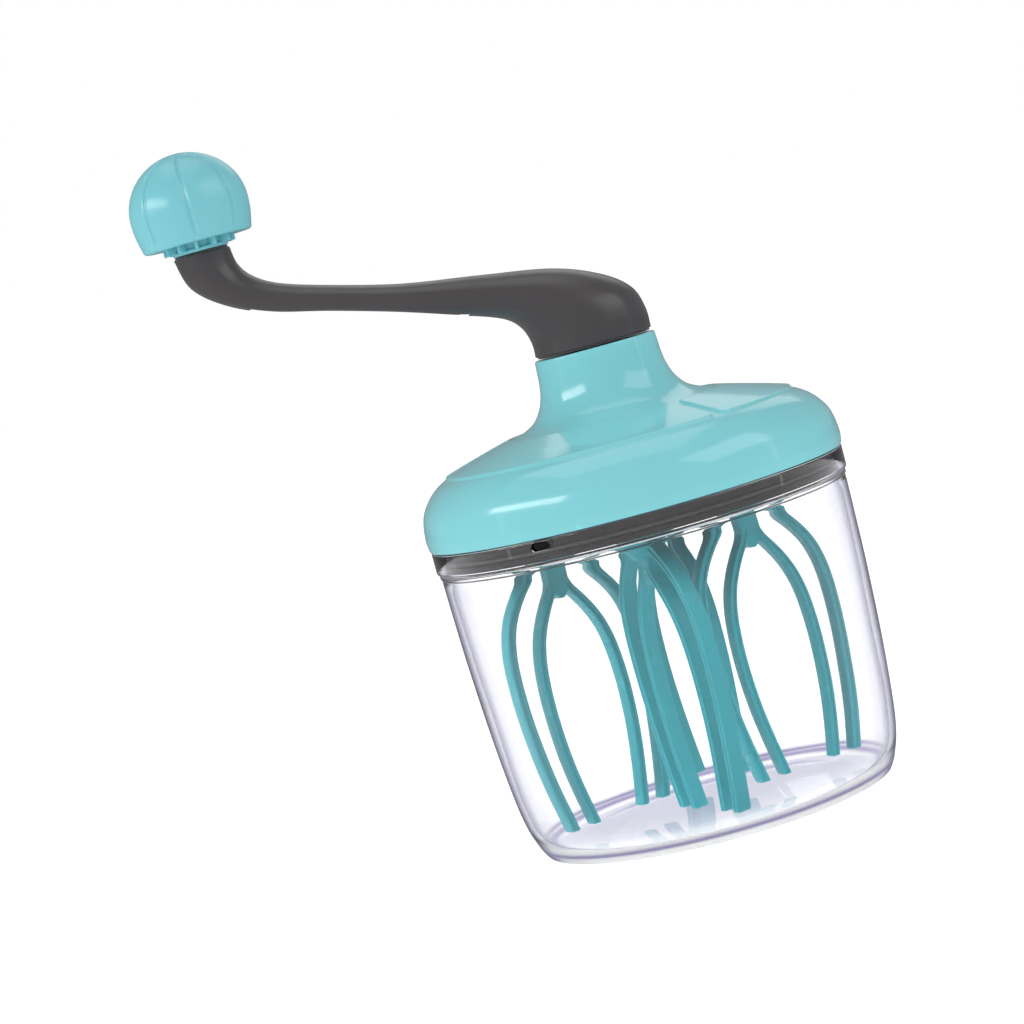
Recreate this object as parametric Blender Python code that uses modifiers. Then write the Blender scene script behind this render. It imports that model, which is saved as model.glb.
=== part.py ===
"""Hand-cranked bowl beater: a clear container, a geared lid, a crank and four flat whisks.

Every length below is in millimetres and every object is built in metres, +Z up.
The origin is the middle of the container's underside. The crank's arm points to -X.
"""
import math

import bmesh
import bpy
from mathutils import Matrix, Vector

MM = 0.001
GAP = 0.3            # left between touching pieces
RUNNING = 0.08       # radial clearance of a shaft in its bush
OVERCUT = 3.0        # how far a cutter reaches past what it cuts
SUNK = 1.0           # how far a joined solid starts inside the other one

# Container
BASE_R = 54.0
FOOT_Z = -3.0        # heights here are from 3 mm above the worktop that the foot stands on
FLOOR_Z = 1.0
COLLAR_R = 69.3
COLLAR_BORE_R = 67.2
RIM_Z = 106.0
WINDOW_Z = 104.0     # middle of the latch windows in the collar
WINDOW_HALF_W = 3.5
WINDOW_HALF_H = 1.4
WINDOW_ANGLES = (-120.0, 60.0)

# Lid
LID_R = 70.0
LID_EDGE_Z = RIM_Z + GAP
NECK_R = 20.3
NECK_TOP_Z = 157.4
NECK_ROOF = 3.0
PANEL_INNER_R = 34.7
PANEL_INNER_Z = 134.9
PANEL_OUTER_R = 58.6
PANEL_OUTER_Z = 128.5
GROOVE_ANGLES = (-59.0, 61.0, 181.0)
GROOVE_W = 2.6
GROOVE_DEPTH = 0.6
GROOVE_CUTTER_H = 2.6

# Gear plate under the lid
PLATE_R = 66.8
PLATE_BOTTOM_Z = 99.9
PLATE_TOP_Z = 102.9
SKIRT_BOTTOM_Z = 99.1
SKIRT_WALL = 2.4
SEAL_Z = 102.0
SEAL_H = 1.6
SEAL_DEPTH = 1.2

# Gears: module 1 mm, 20 degree pressure angle
GEAR_MODULE = 1.0
DEDENDUM = 1.25      # of the module
PRESSURE_ANGLE = math.radians(20.0)
DRIVE_TEETH = 48
PINION_TEETH = 17
BACKLASH = 0.12
GEAR_BOTTOM_Z = 107.5
GEAR_TOP_Z = 113.5
WHISK_CIRCLE_R = GEAR_MODULE * (DRIVE_TEETH + PINION_TEETH) / 2

# Spindles, shaft and their bushes
SPINDLE_R = 3.0
SPINDLE_BOTTOM_Z = 91.8
SPINDLE_COLLAR_R = 5.6
PIVOT_R = 2.0
PIVOT_TOP_Z = 120.0
PIVOT_END_PLAY = 1.0
PIVOT_BOSS_R = 4.4
PIVOT_BOSS_BOTTOM_Z = 114.6
PIVOT_BOSS_TOP_Z = 133.6
BUSH_R = 5.0
BUSH_FLANGE_R = 6.5
BUSH_FLANGE_TOP_Z = 103.9
CLIP_R = 5.4
CLIP_GAP = 0.4
SHAFT_R = 5.0
SHAFT_TOP_Z = 176.0
NECK_BUSH_R = 8.0
NECK_BUSH_BOTTOM_Z = 121.5
NECK_FLANGE_R = 13.0
NECK_FLANGE_T = 2.6
GEAR_HUB_R = 9.0
GEAR_HUB_TOP_Z = 121.2
WASHER_T = 1.0
GEAR_WASHER_R = 8.0
HUB_WASHER_R = 14.0

# Screws
SCREW_R = 1.3
SCREW_HOLE_R = SCREW_R + GAP
SCREW_HEAD_R = 2.8
SCREW_RIM_H = 1.0
SCREW_HEAD_H = 1.8
SCREW_CIRCLE_R = 52.0
SCREW_ANGLES = (45.0, 135.0, 225.0, 315.0)
SCREW_BOSS_R = 4.0
SCREW_BOSS_TOP_Z = 129.0
SCREW_TIP_Z = 115.0
SCREW_POINT_H = 1.0
SCREW_HOLE_TOP_Z = 118.0
GEAR_SCREW_HEAD_R = 3.6
GEAR_SCREW_RIM_H = 1.6
GEAR_SCREW_HEAD_H = 2.4
GEAR_SCREW_TIP_Z = 120.0
SHAFT_THREAD_TOP_Z = 123.0

# Whisks: a flat blade with an outer and an inner pair of tines
WHISK_RING_TURN = -4.5
WHISK_ANGLES = {"left": 180.0 + WHISK_RING_TURN, "right": WHISK_RING_TURN,
                "front": -90.0 + WHISK_RING_TURN, "back": 90.0 + WHISK_RING_TURN}
WHISK_TURN = {"left": 30.0, "right": 25.0, "front": -66.0, "back": -62.0}
WHISK_TOP_Z = 98.4
WHISK_FLANGE_R = 8.4
STEM_HALF_W = 3.8    # the flat stem between the flange and the inner tines
STEM_T = 4.4
STEM_TOP_Z = 91.2
STEM_SHOULDER_Z = 84.0
STEM_POINT_Z = 80.6
STEM_POINT_HALF_W = 0.9
TINE_TIP_Z = 6.0
TINE_T = 4.8         # through the blade
OUTER_TINE_W = 3.2   # across a tine in the blade's plane
OUTER_TINE = ((5.4, 93.2), (11.5, 89.5), (17.0, 83.5), (21.5, 76.0), (24.0, 67.0), (24.7, 56.0),
              (24.3, 44.0), (23.0, 32.0), (21.0, 19.5), (18.3, TINE_TIP_Z))
INNER_TINE_W = 2.6
INNER_TINE = ((2.2, 87.0), (3.6, 83.5), (6.4, 79.3), (9.8, 73.5), (12.3, 67.5), (14.0, 60.0),
              (14.8, 50.0), (14.7, 40.0), (13.9, 30.0), (12.3, 19.5), (9.8, TINE_TIP_Z))

# Crank: each station is a point on the underside, a point on the top, the half width and
# how square the underside is, from the hub to the end post
HUB_BOTTOM_Z = 158.4
HUB_R = 19.5
POST_X = -115.3
POST_R = 9.35
POST_TOP_Z = 220.0
CRANK_STATIONS = (
    ((-HUB_R, HUB_BOTTOM_Z), (HUB_R, HUB_BOTTOM_Z), HUB_R, 2.0),
    ((-19.5, 163.5), (19.4, 165.5), 19.4, 2.0),
    ((-21.2, 168.8), (16.6, 173.0), 18.6, 2.2),
    ((-25.0, 172.8), (8.0, 179.6), 16.9, 2.5),
    ((-32.0, 175.9), (-7.0, 185.4), 14.6, 2.9),
    ((-43.4, 179.4), (-30.0, 189.4), 12.2, 3.2),
    ((-60.0, 184.9), (-55.0, 193.4), 10.6, 3.2),
    ((-80.0, 190.7), (-76.5, 198.8), 9.8, 3.2),
    ((-98.0, 195.3), (-92.5, 203.7), 9.4, 3.0),
    ((-111.7, 201.2), (-100.7, 208.2), 9.35, 2.5),
    ((-121.6, 209.5), (-104.9, 213.6), POST_R, 2.1),
    ((POST_X - POST_R, POST_TOP_Z), (POST_X + POST_R, POST_TOP_Z), POST_R, 2.0),
)
CRANK_RING_SIDES = 16
CRANK_STEPS = 2
COVER_FIRST, COVER_LAST = 9, 17       # the rings that the underside cover runs between
COVER_HALF_WIDTH = 0.62               # of the arm's half width
COVER_RECESS = 0.5
COVER_T = 2.2
POCKET_DEPTH = 3.4

# Knob
KNOB_R = 19.6
KNOB_WIDE_Z = 234.5
KNOB_TOP_Z = 253.1
KNOB_EDGE_R = 18.3
KNOB_EDGE_Z = 225.3
KNOB_BOTTOM_Z = 223.7
KNOB_WALL = 2.4
KNOB_FLUTES = 8
FIRST_FLUTE_ANGLE = -86.0
FLUTE_R = 0.8
FLUTE_LOW_ANGLE = -22.0               # up the dome, from its widest circle
FLUTE_HIGH_ANGLE = 72.0
FLUTE_STEPS = 8
CORE_R = 12.3
CORE_TOP_Z = 227.0
CORE_FLOOR_Z = 221.4
CORE_BOTTOM_Z = 220.6
CORE_LIP_R = 9.2
CORE_POCKETS = 12
POCKET_CIRCLE_R = 11.1
POCKET_SIZE = (2.0, 3.0, 5.0)
SLEEVE_R = 6.0
SLEEVE_TOP_Z = 241.1
PIN_R = 3.0
PIN_BOTTOM_Z = 210.0
PIN_HEAD_R = 5.4
PIN_HEAD_Z = 241.6
PIN_HEAD_H = 1.8
PIN_CHAMFER = 1.0

BIG_STEPS = 40
MID_STEPS = 24
SHAFT_STEPS = 20
SMALL_STEPS = 16
BOSS_STEPS = 12
SCREW_STEPS = 10


def clear_scene():
    for old in list(bpy.data.objects):
        bpy.data.objects.remove(old, do_unlink=True)


def new_collection(name):
    made = bpy.data.collections.new(name)
    bpy.context.scene.collection.children.link(made)
    return made


def new_material(name, colour, roughness, metallic=0.0, transmission=0.0):
    made = bpy.data.materials.new(name)
    made.use_nodes = True
    shader = made.node_tree.nodes["Principled BSDF"]
    shader.inputs["Base Color"].default_value = (*colour, 1.0)
    shader.inputs["Roughness"].default_value = roughness
    shader.inputs["Metallic"].default_value = metallic
    shader.inputs["Transmission Weight"].default_value = transmission
    made.diffuse_color = (*colour, 1.0)
    return made


clear_scene()
PARTS = new_collection("hand_beater")
CUTTERS = new_collection("cutters")
CLEAR = new_material("clear_plastic", (0.93, 0.93, 0.97), 0.03, transmission=1.0)
TEAL = new_material("teal_plastic", (0.21, 0.58, 0.65), 0.22)
DEEP_TEAL = new_material("whisk_plastic", (0.11, 0.48, 0.55), 0.30)
GREY = new_material("grey_plastic", (0.075, 0.070, 0.075), 0.38)
RUBBER = new_material("seal_rubber", (0.05, 0.05, 0.05), 0.70)
WHITE = new_material("bearing_plastic", (0.80, 0.80, 0.78), 0.40)
STEEL = new_material("steel", (0.62, 0.62, 0.64), 0.28, metallic=1.0)


def place(mesh, name, material, at=(0.0, 0.0), turn=0.0):
    """Put a mesh in the scene as a named part, turned about its own upright axis."""
    made = bpy.data.objects.new(name, mesh)
    made.location = (at[0] * MM, at[1] * MM, 0.0)
    made.rotation_euler = (0.0, 0.0, math.radians(turn))
    if material:
        mesh.materials.append(material)
        PARTS.objects.link(made)
    else:
        CUTTERS.objects.link(made)
        made.hide_render = True
        made.display_type = "WIRE"
    return made


def turned(name, profile, material=None, steps=SMALL_STEPS, at=(0.0, 0.0), turn=0.0):
    """A turned piece. The profile runs down the outer side and back up the inner one."""
    mesh = bpy.data.meshes.new(name)
    shape = bmesh.new()
    verts = [shape.verts.new((r * MM, 0.0, z * MM)) for r, z in profile]
    for first, second in zip(verts, verts[1:]):
        shape.edges.new((first, second))
    if profile[0][0] > 0.0:
        shape.edges.new((verts[-1], verts[0]))
    shape.to_mesh(mesh)
    shape.free()
    made = place(mesh, name, material, at, turn)
    screw = made.modifiers.new("turn", "SCREW")
    screw.steps = steps
    screw.render_steps = steps
    screw.use_merge_vertices = True
    screw.merge_threshold = 0.00001
    screw.use_smooth_shade = True
    return made


def tube(r_out, r_in, z_low, z_high):
    return [(r_out, z_high), (r_out, z_low), (r_in, z_low), (r_in, z_high)]


def rod(radius, z_low, z_high):
    return [(0.0, z_high), (radius, z_high), (radius, z_low), (0.0, z_low)]


def combine(target, other, operation):
    step = target.modifiers.new(operation.lower(), "BOOLEAN")
    step.operation = operation
    step.solver = "EXACT"
    step.object = other


def cut(target, cutter):
    combine(target, cutter, "DIFFERENCE")


def join(target, other):
    combine(target, other, "UNION")


def around(radius, degrees):
    angle = math.radians(degrees)
    return (radius * math.cos(angle), radius * math.sin(angle))


def cylinders(name, radius, z_low, z_high, spots, sides=SMALL_STEPS):
    """Equal upright cylinders in one mesh, for a single cut or join."""
    mesh = bpy.data.meshes.new(name)
    shape = bmesh.new()
    turn = Matrix.Rotation(math.pi / sides, 4, "Z")
    for x, y in spots:
        middle = Matrix.Translation((x * MM, y * MM, (z_low + z_high) / 2 * MM))
        bmesh.ops.create_cone(shape, cap_ends=True, segments=sides, radius1=radius * MM,
                              radius2=radius * MM, depth=(z_high - z_low) * MM, matrix=middle @ turn)
    shape.to_mesh(mesh)
    shape.free()
    return place(mesh, name, None)


def boxes(name, size, matrices, material=None):
    """One mesh of equal boxes, each placed by its own matrix, in millimetres."""
    mesh = bpy.data.meshes.new(name)
    shape = bmesh.new()
    scale = Matrix.Diagonal((*size, 1.0))
    to_metres = Matrix.Scale(MM, 4)
    for matrix in matrices:
        bmesh.ops.create_cube(shape, size=1.0, matrix=to_metres @ matrix @ scale)
    shape.to_mesh(mesh)
    shape.free()
    return place(mesh, name, material)


def extruded(name, corners, reach, material=None, at=(0.0, 0.0), turn=0.0):
    """A flat outline pushed out along a straight line."""
    mesh = bpy.data.meshes.new(name)
    shape = bmesh.new()
    face = shape.faces.new([shape.verts.new(corner * MM) for corner in corners])
    grown = bmesh.ops.extrude_face_region(shape, geom=[face])
    moved = [item for item in grown["geom"] if isinstance(item, bmesh.types.BMVert)]
    bmesh.ops.translate(shape, verts=moved, vec=reach * MM)
    bmesh.ops.recalc_face_normals(shape, faces=shape.faces)
    shape.to_mesh(mesh)
    shape.free()
    return place(mesh, name, material, at, turn)


def smooth_line(points, steps):
    """A Catmull-Rom line through the points, with the given steps in each span."""
    padded = [points[0], *points, points[-1]]
    line = []
    for index in range(len(points) - 1):
        before, start, end, after = (Vector(p) for p in padded[index:index + 4])
        for step in range(steps):
            t = step / steps
            line.append(0.5 * (2 * start + (end - before) * t
                               + (2 * before - 5 * start + 4 * end - after) * t * t
                               + (3 * start - before - 3 * end + after) * t ** 3))
    line.append(Vector(points[-1]))
    return line


# ---------------------------------------------------------------- container

def make_container():
    inside = [(0.0, FLOOR_Z), (51.0, FLOOR_Z), (57.0, FLOOR_Z + 1.6), (60.5, 9.0), (62.0, 18.0),
              (63.8, 41.0), (65.3, 66.0), (66.0, 92.0), (COLLAR_BORE_R, 98.2), (COLLAR_BORE_R, RIM_Z)]
    outside = [(COLLAR_R, RIM_Z), (COLLAR_R, 98.6), (68.5, 97.2), (68.2, 92.0), (67.5, 66.0),
               (66.0, 41.0), (64.1, 18.0), (62.4, 8.6), (59.4, 0.8), (BASE_R, FOOT_Z), (0.0, FOOT_Z)]
    container = turned("container", [*inside, *outside], CLEAR, BIG_STEPS)
    for number, angle in enumerate(WINDOW_ANGLES, 1):
        cut(container, latch_window(f"window_{number}", angle))


def latch_window(name, degrees):
    """A six-sided bar that cuts a latch window through the collar."""
    bevel = WINDOW_HALF_H * 0.8
    outline = [(-WINDOW_HALF_W, 0.0), (-WINDOW_HALF_W + bevel, WINDOW_HALF_H),
               (WINDOW_HALF_W - bevel, WINDOW_HALF_H), (WINDOW_HALF_W, 0.0),
               (WINDOW_HALF_W - bevel, -WINDOW_HALF_H), (-WINDOW_HALF_W + bevel, -WINDOW_HALF_H)]
    inner, outer = COLLAR_BORE_R - OVERCUT, COLLAR_R + OVERCUT
    corners = [Vector((inner, y, WINDOW_Z + z)) for y, z in outline]
    return extruded(name, corners, Vector((outer - inner, 0.0, 0.0)), turn=degrees)


# ---------------------------------------------------------------- lid

def lid_profile():
    bore_r = NECK_BUSH_R + GAP
    neck = smooth_line([(NECK_R, 156.8), (20.7, 150.5), (22.4, 143.6), (25.9, 138.2),
                        (PANEL_INNER_R - 0.4, 134.5)], 2)
    dome = [(PANEL_INNER_R, PANEL_INNER_Z), (47.6, 131.3), (PANEL_OUTER_R, PANEL_OUTER_Z), (59.1, 127.9),
            (64.4, 123.9), (67.9, 119.6), (69.6, 114.8), (LID_R, 110.0), (69.3, LID_EDGE_Z)]
    outside = [(p.x, p.y) for p in neck] + dome
    inside = [(66.8, LID_EDGE_Z), (67.5, 110.0), (67.1, 114.3), (65.6, 118.6), (62.4, 122.2),
              (57.8, 125.4), (46.8, 128.8), (34.0, 132.2), (25.0, 135.2), (20.4, 142.0),
              (18.3, 149.0), (17.8, NECK_TOP_Z - NECK_ROOF), (bore_r, NECK_TOP_Z - NECK_ROOF)]
    return [(bore_r, NECK_TOP_Z), (NECK_R - 0.6, NECK_TOP_Z), *outside, *inside]


def make_lid_cover():
    lid = turned("lid_cover", lid_profile(), TEAL, BIG_STEPS)
    run, fall = PANEL_OUTER_R - PANEL_INNER_R, PANEL_INNER_Z - PANEL_OUTER_Z
    middle_r = (PANEL_INNER_R + PANEL_OUTER_R) / 2
    middle_z = (PANEL_INNER_Z + PANEL_OUTER_Z) / 2 + GROOVE_CUTTER_H / 2 - GROOVE_DEPTH
    lean = Matrix.Translation((middle_r, 0.0, middle_z)) @ Matrix.Rotation(math.atan2(fall, run), 4, "Y")
    spots = [Matrix.Rotation(math.radians(angle), 4, "Z") @ lean for angle in GROOVE_ANGLES]
    cut(lid, boxes("panel_grooves", (math.hypot(run, fall), GROOVE_W, GROOVE_CUTTER_H), spots))
    whisks = [around(WHISK_CIRCLE_R, angle) for angle in WHISK_ANGLES.values()]
    screws = [around(SCREW_CIRCLE_R, angle) for angle in SCREW_ANGLES]
    low, high = PIVOT_BOSS_BOTTOM_Z, PIVOT_BOSS_TOP_Z
    join(lid, cylinders("pivot_bosses", PIVOT_BOSS_R, low, high, whisks, BOSS_STEPS))
    hole_top = PIVOT_TOP_Z + PIVOT_END_PLAY
    cut(lid, cylinders("pivot_holes", PIVOT_R + RUNNING, low - OVERCUT, hole_top, whisks))
    low, high = PLATE_TOP_Z + GAP, SCREW_BOSS_TOP_Z
    join(lid, cylinders("screw_bosses", SCREW_BOSS_R, low, high, screws, BOSS_STEPS))
    hole_top = SCREW_HOLE_TOP_Z
    cut(lid, cylinders("screw_bores", SCREW_HOLE_R, low - OVERCUT, hole_top, screws, SCREW_STEPS))


def make_gear_plate():
    skirt_in = PLATE_R - SKIRT_WALL
    groove_in = PLATE_R - SEAL_DEPTH
    seal_top = SEAL_Z + SEAL_H / 2
    seal_bottom = SEAL_Z - SEAL_H / 2
    profile = [(0.0, PLATE_TOP_Z), (skirt_in, PLATE_TOP_Z), (skirt_in, RIM_Z), (PLATE_R, RIM_Z),
               (PLATE_R, seal_top), (groove_in, seal_top), (groove_in, seal_bottom),
               (PLATE_R, seal_bottom), (PLATE_R, SKIRT_BOTTOM_Z), (skirt_in, SKIRT_BOTTOM_Z),
               (skirt_in, PLATE_BOTTOM_Z), (0.0, PLATE_BOTTOM_Z)]
    plate = turned("gear_plate", profile, GREY, BIG_STEPS)
    whisks = [around(WHISK_CIRCLE_R, angle) for angle in WHISK_ANGLES.values()]
    screws = [around(SCREW_CIRCLE_R, angle) for angle in SCREW_ANGLES]
    low, high = SKIRT_BOTTOM_Z - OVERCUT, RIM_Z + OVERCUT
    cut(plate, cylinders("bush_holes", BUSH_R + GAP, low, high, whisks))
    cut(plate, cylinders("screw_holes", SCREW_HOLE_R, low, high, screws, SCREW_STEPS))
    bore = SPINDLE_R + RUNNING
    bush = [(BUSH_FLANGE_R, BUSH_FLANGE_TOP_Z), (BUSH_FLANGE_R, PLATE_TOP_Z + GAP),
            (BUSH_R, PLATE_TOP_Z + GAP), (BUSH_R, PLATE_BOTTOM_Z),
            (bore, PLATE_BOTTOM_Z), (bore, BUSH_FLANGE_TOP_Z)]
    for name, centre in zip(WHISK_ANGLES, whisks):
        turned(f"bush_{name}", bush, WHITE, at=centre)
    head_top = PLATE_BOTTOM_Z - GAP
    screw = screw_profile(SCREW_TIP_Z, head_top, SCREW_HEAD_R, SCREW_RIM_H, SCREW_HEAD_H)
    for number, centre in enumerate(screws, 1):
        turned(f"lid_screw_{number}", screw, STEEL, SCREW_STEPS, at=centre)
    seal = tube(PLATE_R + 0.1, groove_in + GAP, seal_bottom + GAP, seal_top - GAP)
    turned("rim_seal", seal, RUBBER, BIG_STEPS)


def screw_profile(tip_z, head_top, head_r, rim_h, head_h):
    """A screw that points up, with its head below head_top."""
    return [(0.0, tip_z), (SCREW_R, tip_z - SCREW_POINT_H), (SCREW_R, head_top), (head_r, head_top),
            (head_r, head_top - rim_h), (head_r - 1.0, head_top - head_h), (0.0, head_top - head_h)]


def make_neck_bush():
    roof = NECK_TOP_Z - NECK_ROOF - GAP
    bore = SHAFT_R + RUNNING
    flange_low = roof - NECK_FLANGE_T
    profile = [(NECK_BUSH_R, NECK_TOP_Z), (NECK_BUSH_R, roof), (NECK_FLANGE_R, roof),
               (NECK_FLANGE_R, flange_low), (NECK_BUSH_R, flange_low), (NECK_BUSH_R, NECK_BUSH_BOTTOM_Z),
               (bore, NECK_BUSH_BOTTOM_Z), (bore, NECK_TOP_Z)]
    turned("neck_bush", profile, WHITE, SHAFT_STEPS)


# ---------------------------------------------------------------- gears

def gear_outline(teeth, first_tooth):
    """Involute outline with a few points on each flank. first_tooth is a tooth's angle."""
    pitch_r = GEAR_MODULE * teeth / 2
    base_r = pitch_r * math.cos(PRESSURE_ANGLE)
    root_r = pitch_r - DEDENDUM * GEAR_MODULE
    tip_r = pitch_r + GEAR_MODULE
    half_pitch_angle = (math.pi * GEAR_MODULE / 2 - BACKLASH) / 2 / pitch_r
    start = math.tan(PRESSURE_ANGLE) - PRESSURE_ANGLE

    def half_angle(radius):
        pressure = math.acos(min(1.0, base_r / radius))
        return half_pitch_angle + start - (math.tan(pressure) - pressure)

    radii = [root_r, pitch_r, tip_r]
    outline = []
    for tooth in range(teeth):
        middle = first_tooth + 2 * math.pi * tooth / teeth
        for radius in radii:
            outline.append((radius, middle - half_angle(radius)))
        for radius in reversed(radii):
            outline.append((radius, middle + half_angle(radius)))
    return [(r * math.cos(a), r * math.sin(a)) for r, a in outline]


def gear_blank(name, teeth, first_tooth, at=(0.0, 0.0)):
    """The toothed ring as a flat outline with a thickness."""
    corners = [Vector((x, y, GEAR_BOTTOM_Z)) for x, y in gear_outline(teeth, first_tooth)]
    return extruded(name, corners, Vector((0.0, 0.0, GEAR_TOP_Z - GEAR_BOTTOM_Z)), WHITE, at)


def make_drive_gear():
    gear = gear_blank("drive_gear", DRIVE_TEETH, math.radians(WHISK_RING_TURN))
    centre = [(0.0, 0.0)]
    low, high = GEAR_BOTTOM_Z - OVERCUT, GEAR_HUB_TOP_Z + OVERCUT
    join(gear, cylinders("gear_hub", GEAR_HUB_R, GEAR_BOTTOM_Z + SUNK, GEAR_HUB_TOP_Z, centre, SHAFT_STEPS))
    cut(gear, cylinders("gear_bore", SHAFT_R + GAP, low, high, centre, SHAFT_STEPS))
    shaft = turned("drive_shaft", rod(SHAFT_R, GEAR_BOTTOM_Z, SHAFT_TOP_Z), STEEL, SHAFT_STEPS)
    cut(shaft, cylinders("shaft_thread", SCREW_HOLE_R, low, SHAFT_THREAD_TOP_Z, centre, SCREW_STEPS))
    washer_top = GEAR_BOTTOM_Z - GAP
    washer_low = washer_top - WASHER_T
    turned("gear_washer", tube(GEAR_WASHER_R, SCREW_HOLE_R, washer_low, washer_top), STEEL)
    screw = screw_profile(GEAR_SCREW_TIP_Z, washer_low - GAP, GEAR_SCREW_HEAD_R, GEAR_SCREW_RIM_H,
                          GEAR_SCREW_HEAD_H)
    turned("gear_screw", screw, STEEL, SCREW_STEPS)


def make_pinions():
    for name, angle in WHISK_ANGLES.items():
        centre = around(WHISK_CIRCLE_R, angle)
        gap_at_centre = math.radians(angle + 180.0) + math.pi / PINION_TEETH
        pinion = gear_blank(f"pinion_{name}", PINION_TEETH, gap_at_centre, centre)
        collar_z = BUSH_FLANGE_TOP_Z + GAP
        shoulder_z = GEAR_TOP_Z - SUNK
        spindle = [(0.0, PIVOT_TOP_Z), (PIVOT_R, PIVOT_TOP_Z), (PIVOT_R, shoulder_z),
                   (SPINDLE_COLLAR_R, shoulder_z), (SPINDLE_COLLAR_R, collar_z), (SPINDLE_R, collar_z),
                   (SPINDLE_R, SPINDLE_BOTTOM_Z), (0.0, SPINDLE_BOTTOM_Z)]
        join(pinion, turned(f"spindle_{name}", spindle, at=centre))
        clip = tube(CLIP_R, SPINDLE_R + GAP, WHISK_TOP_Z + GAP, PLATE_BOTTOM_Z - CLIP_GAP)
        turned(f"clip_{name}", clip, STEEL, at=centre)


# ---------------------------------------------------------------- whisks

def tine(name, points, width, side, centre, turn):
    """A flat bar along a centre line in the whisk's own X-Z plane."""
    line = [Vector((side * x, z)) for x, z in points]
    mesh = bpy.data.meshes.new(name)
    shape = bmesh.new()
    rows = []
    for index, point in enumerate(line):
        along = (line[min(index + 1, len(line) - 1)] - line[max(index - 1, 0)]).normalized()
        if index == len(line) - 1:
            along = Vector((0.0, -1.0))
        across = Vector((-along.y, along.x)) * width / 2
        rows.append([shape.verts.new((p.x * MM, 0.0, p.y * MM)) for p in (point - across, point + across)])
    for low, high in zip(rows, rows[1:]):
        shape.faces.new((low[0], low[1], high[1], high[0]))
    shape.to_mesh(mesh)
    shape.free()
    made = place(mesh, name, None, centre, turn)
    solid = made.modifiers.new("thickness", "SOLIDIFY")
    solid.thickness = TINE_T * MM
    solid.offset = 0.0
    return made


def whisk_stem(name, centre, turn):
    """The flat stem under the flange, with a blunt point where the inner tines part."""
    half = [(STEM_HALF_W, STEM_TOP_Z), (STEM_HALF_W, STEM_SHOULDER_Z), (STEM_POINT_HALF_W, STEM_POINT_Z)]
    outline = half + [(-x, z) for x, z in reversed(half)]
    corners = [Vector((x, -STEM_T / 2, z)) for x, z in outline]
    return extruded(name, corners, Vector((0.0, STEM_T, 0.0)), at=centre, turn=turn)


def make_whisks():
    tines = (("outer", OUTER_TINE, OUTER_TINE_W), ("inner", INNER_TINE, INNER_TINE_W))
    for name, angle in WHISK_ANGLES.items():
        centre = around(WHISK_CIRCLE_R, angle)
        turn = WHISK_TURN[name]
        hub = [(0.0, WHISK_TOP_Z), (WHISK_FLANGE_R - 0.8, WHISK_TOP_Z), (WHISK_FLANGE_R, 97.4),
               (WHISK_FLANGE_R, 92.6), (4.8, 90.2), (0.0, 89.4)]
        whisk = turned(f"whisk_{name}", hub, DEEP_TEAL, at=centre, turn=turn)
        join(whisk, whisk_stem(f"stem_{name}", centre, turn))
        for label, points, width in tines:
            for side in (-1, 1):
                word = "a" if side < 0 else "b"
                join(whisk, tine(f"tine_{name}_{label}_{word}", points, width, side, centre, turn))
        low, high = SPINDLE_BOTTOM_Z - GAP, WHISK_TOP_Z + OVERCUT
        cut(whisk, cylinders(f"whisk_bore_{name}", SPINDLE_R + GAP, low, high, [centre]))


# ---------------------------------------------------------------- crank

def crank_rings():
    """Points, half widths and squareness along the crank, smoothed between the stations."""
    under = smooth_line([s[0] for s in CRANK_STATIONS], CRANK_STEPS)
    top = smooth_line([s[1] for s in CRANK_STATIONS], CRANK_STEPS)
    rest = smooth_line([(s[2], s[3]) for s in CRANK_STATIONS], CRANK_STEPS)
    return [(u, t, r.x, r.y) for u, t, r in zip(under, top, rest)]


def loft(name, sections, material=None):
    """A solid through closed sections of equal point counts, with flat ends."""
    mesh = bpy.data.meshes.new(name)
    shape = bmesh.new()
    rings = [[shape.verts.new(point * MM) for point in section] for section in sections]
    for low, high in zip(rings, rings[1:]):
        for index in range(len(low)):
            after = (index + 1) % len(low)
            shape.faces.new((low[index], low[after], high[after], high[index]))
    shape.faces.new(rings[0][::-1])
    shape.faces.new(rings[-1])
    bmesh.ops.recalc_face_normals(shape, faces=shape.faces)
    shape.to_mesh(mesh)
    shape.free()
    mesh.shade_smooth()
    mesh.set_sharp_from_angle(angle=math.radians(35.0))
    return place(mesh, name, material)


def rounded(value, power):
    return math.copysign(abs(value) ** (2.0 / power), value)


def arm_section(under, top, half_width, square):
    """An oval, rounder above and squarer below, across the crank's own direction."""
    middle = (under + top) / 2
    reach = (top - under) / 2
    points = []
    for index in range(CRANK_RING_SIDES):
        angle = 2 * math.pi * index / CRANK_RING_SIDES
        up, side = math.cos(angle), math.sin(angle)
        power = 2.0 if up >= 0.0 else square
        place_2d = middle + reach * rounded(up, power)
        points.append(Vector((place_2d.x, half_width * rounded(side, power), place_2d.y)))
    return points


def slab_section(under, top, half_width, low, high):
    """A rectangle between two heights over the arm's underside, across its direction."""
    up = (top - under).normalized()
    bottom, roof = under + up * low, under + up * high
    return [Vector((bottom.x, -half_width, bottom.y)), Vector((bottom.x, half_width, bottom.y)),
            Vector((roof.x, half_width, roof.y)), Vector((roof.x, -half_width, roof.y))]


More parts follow.
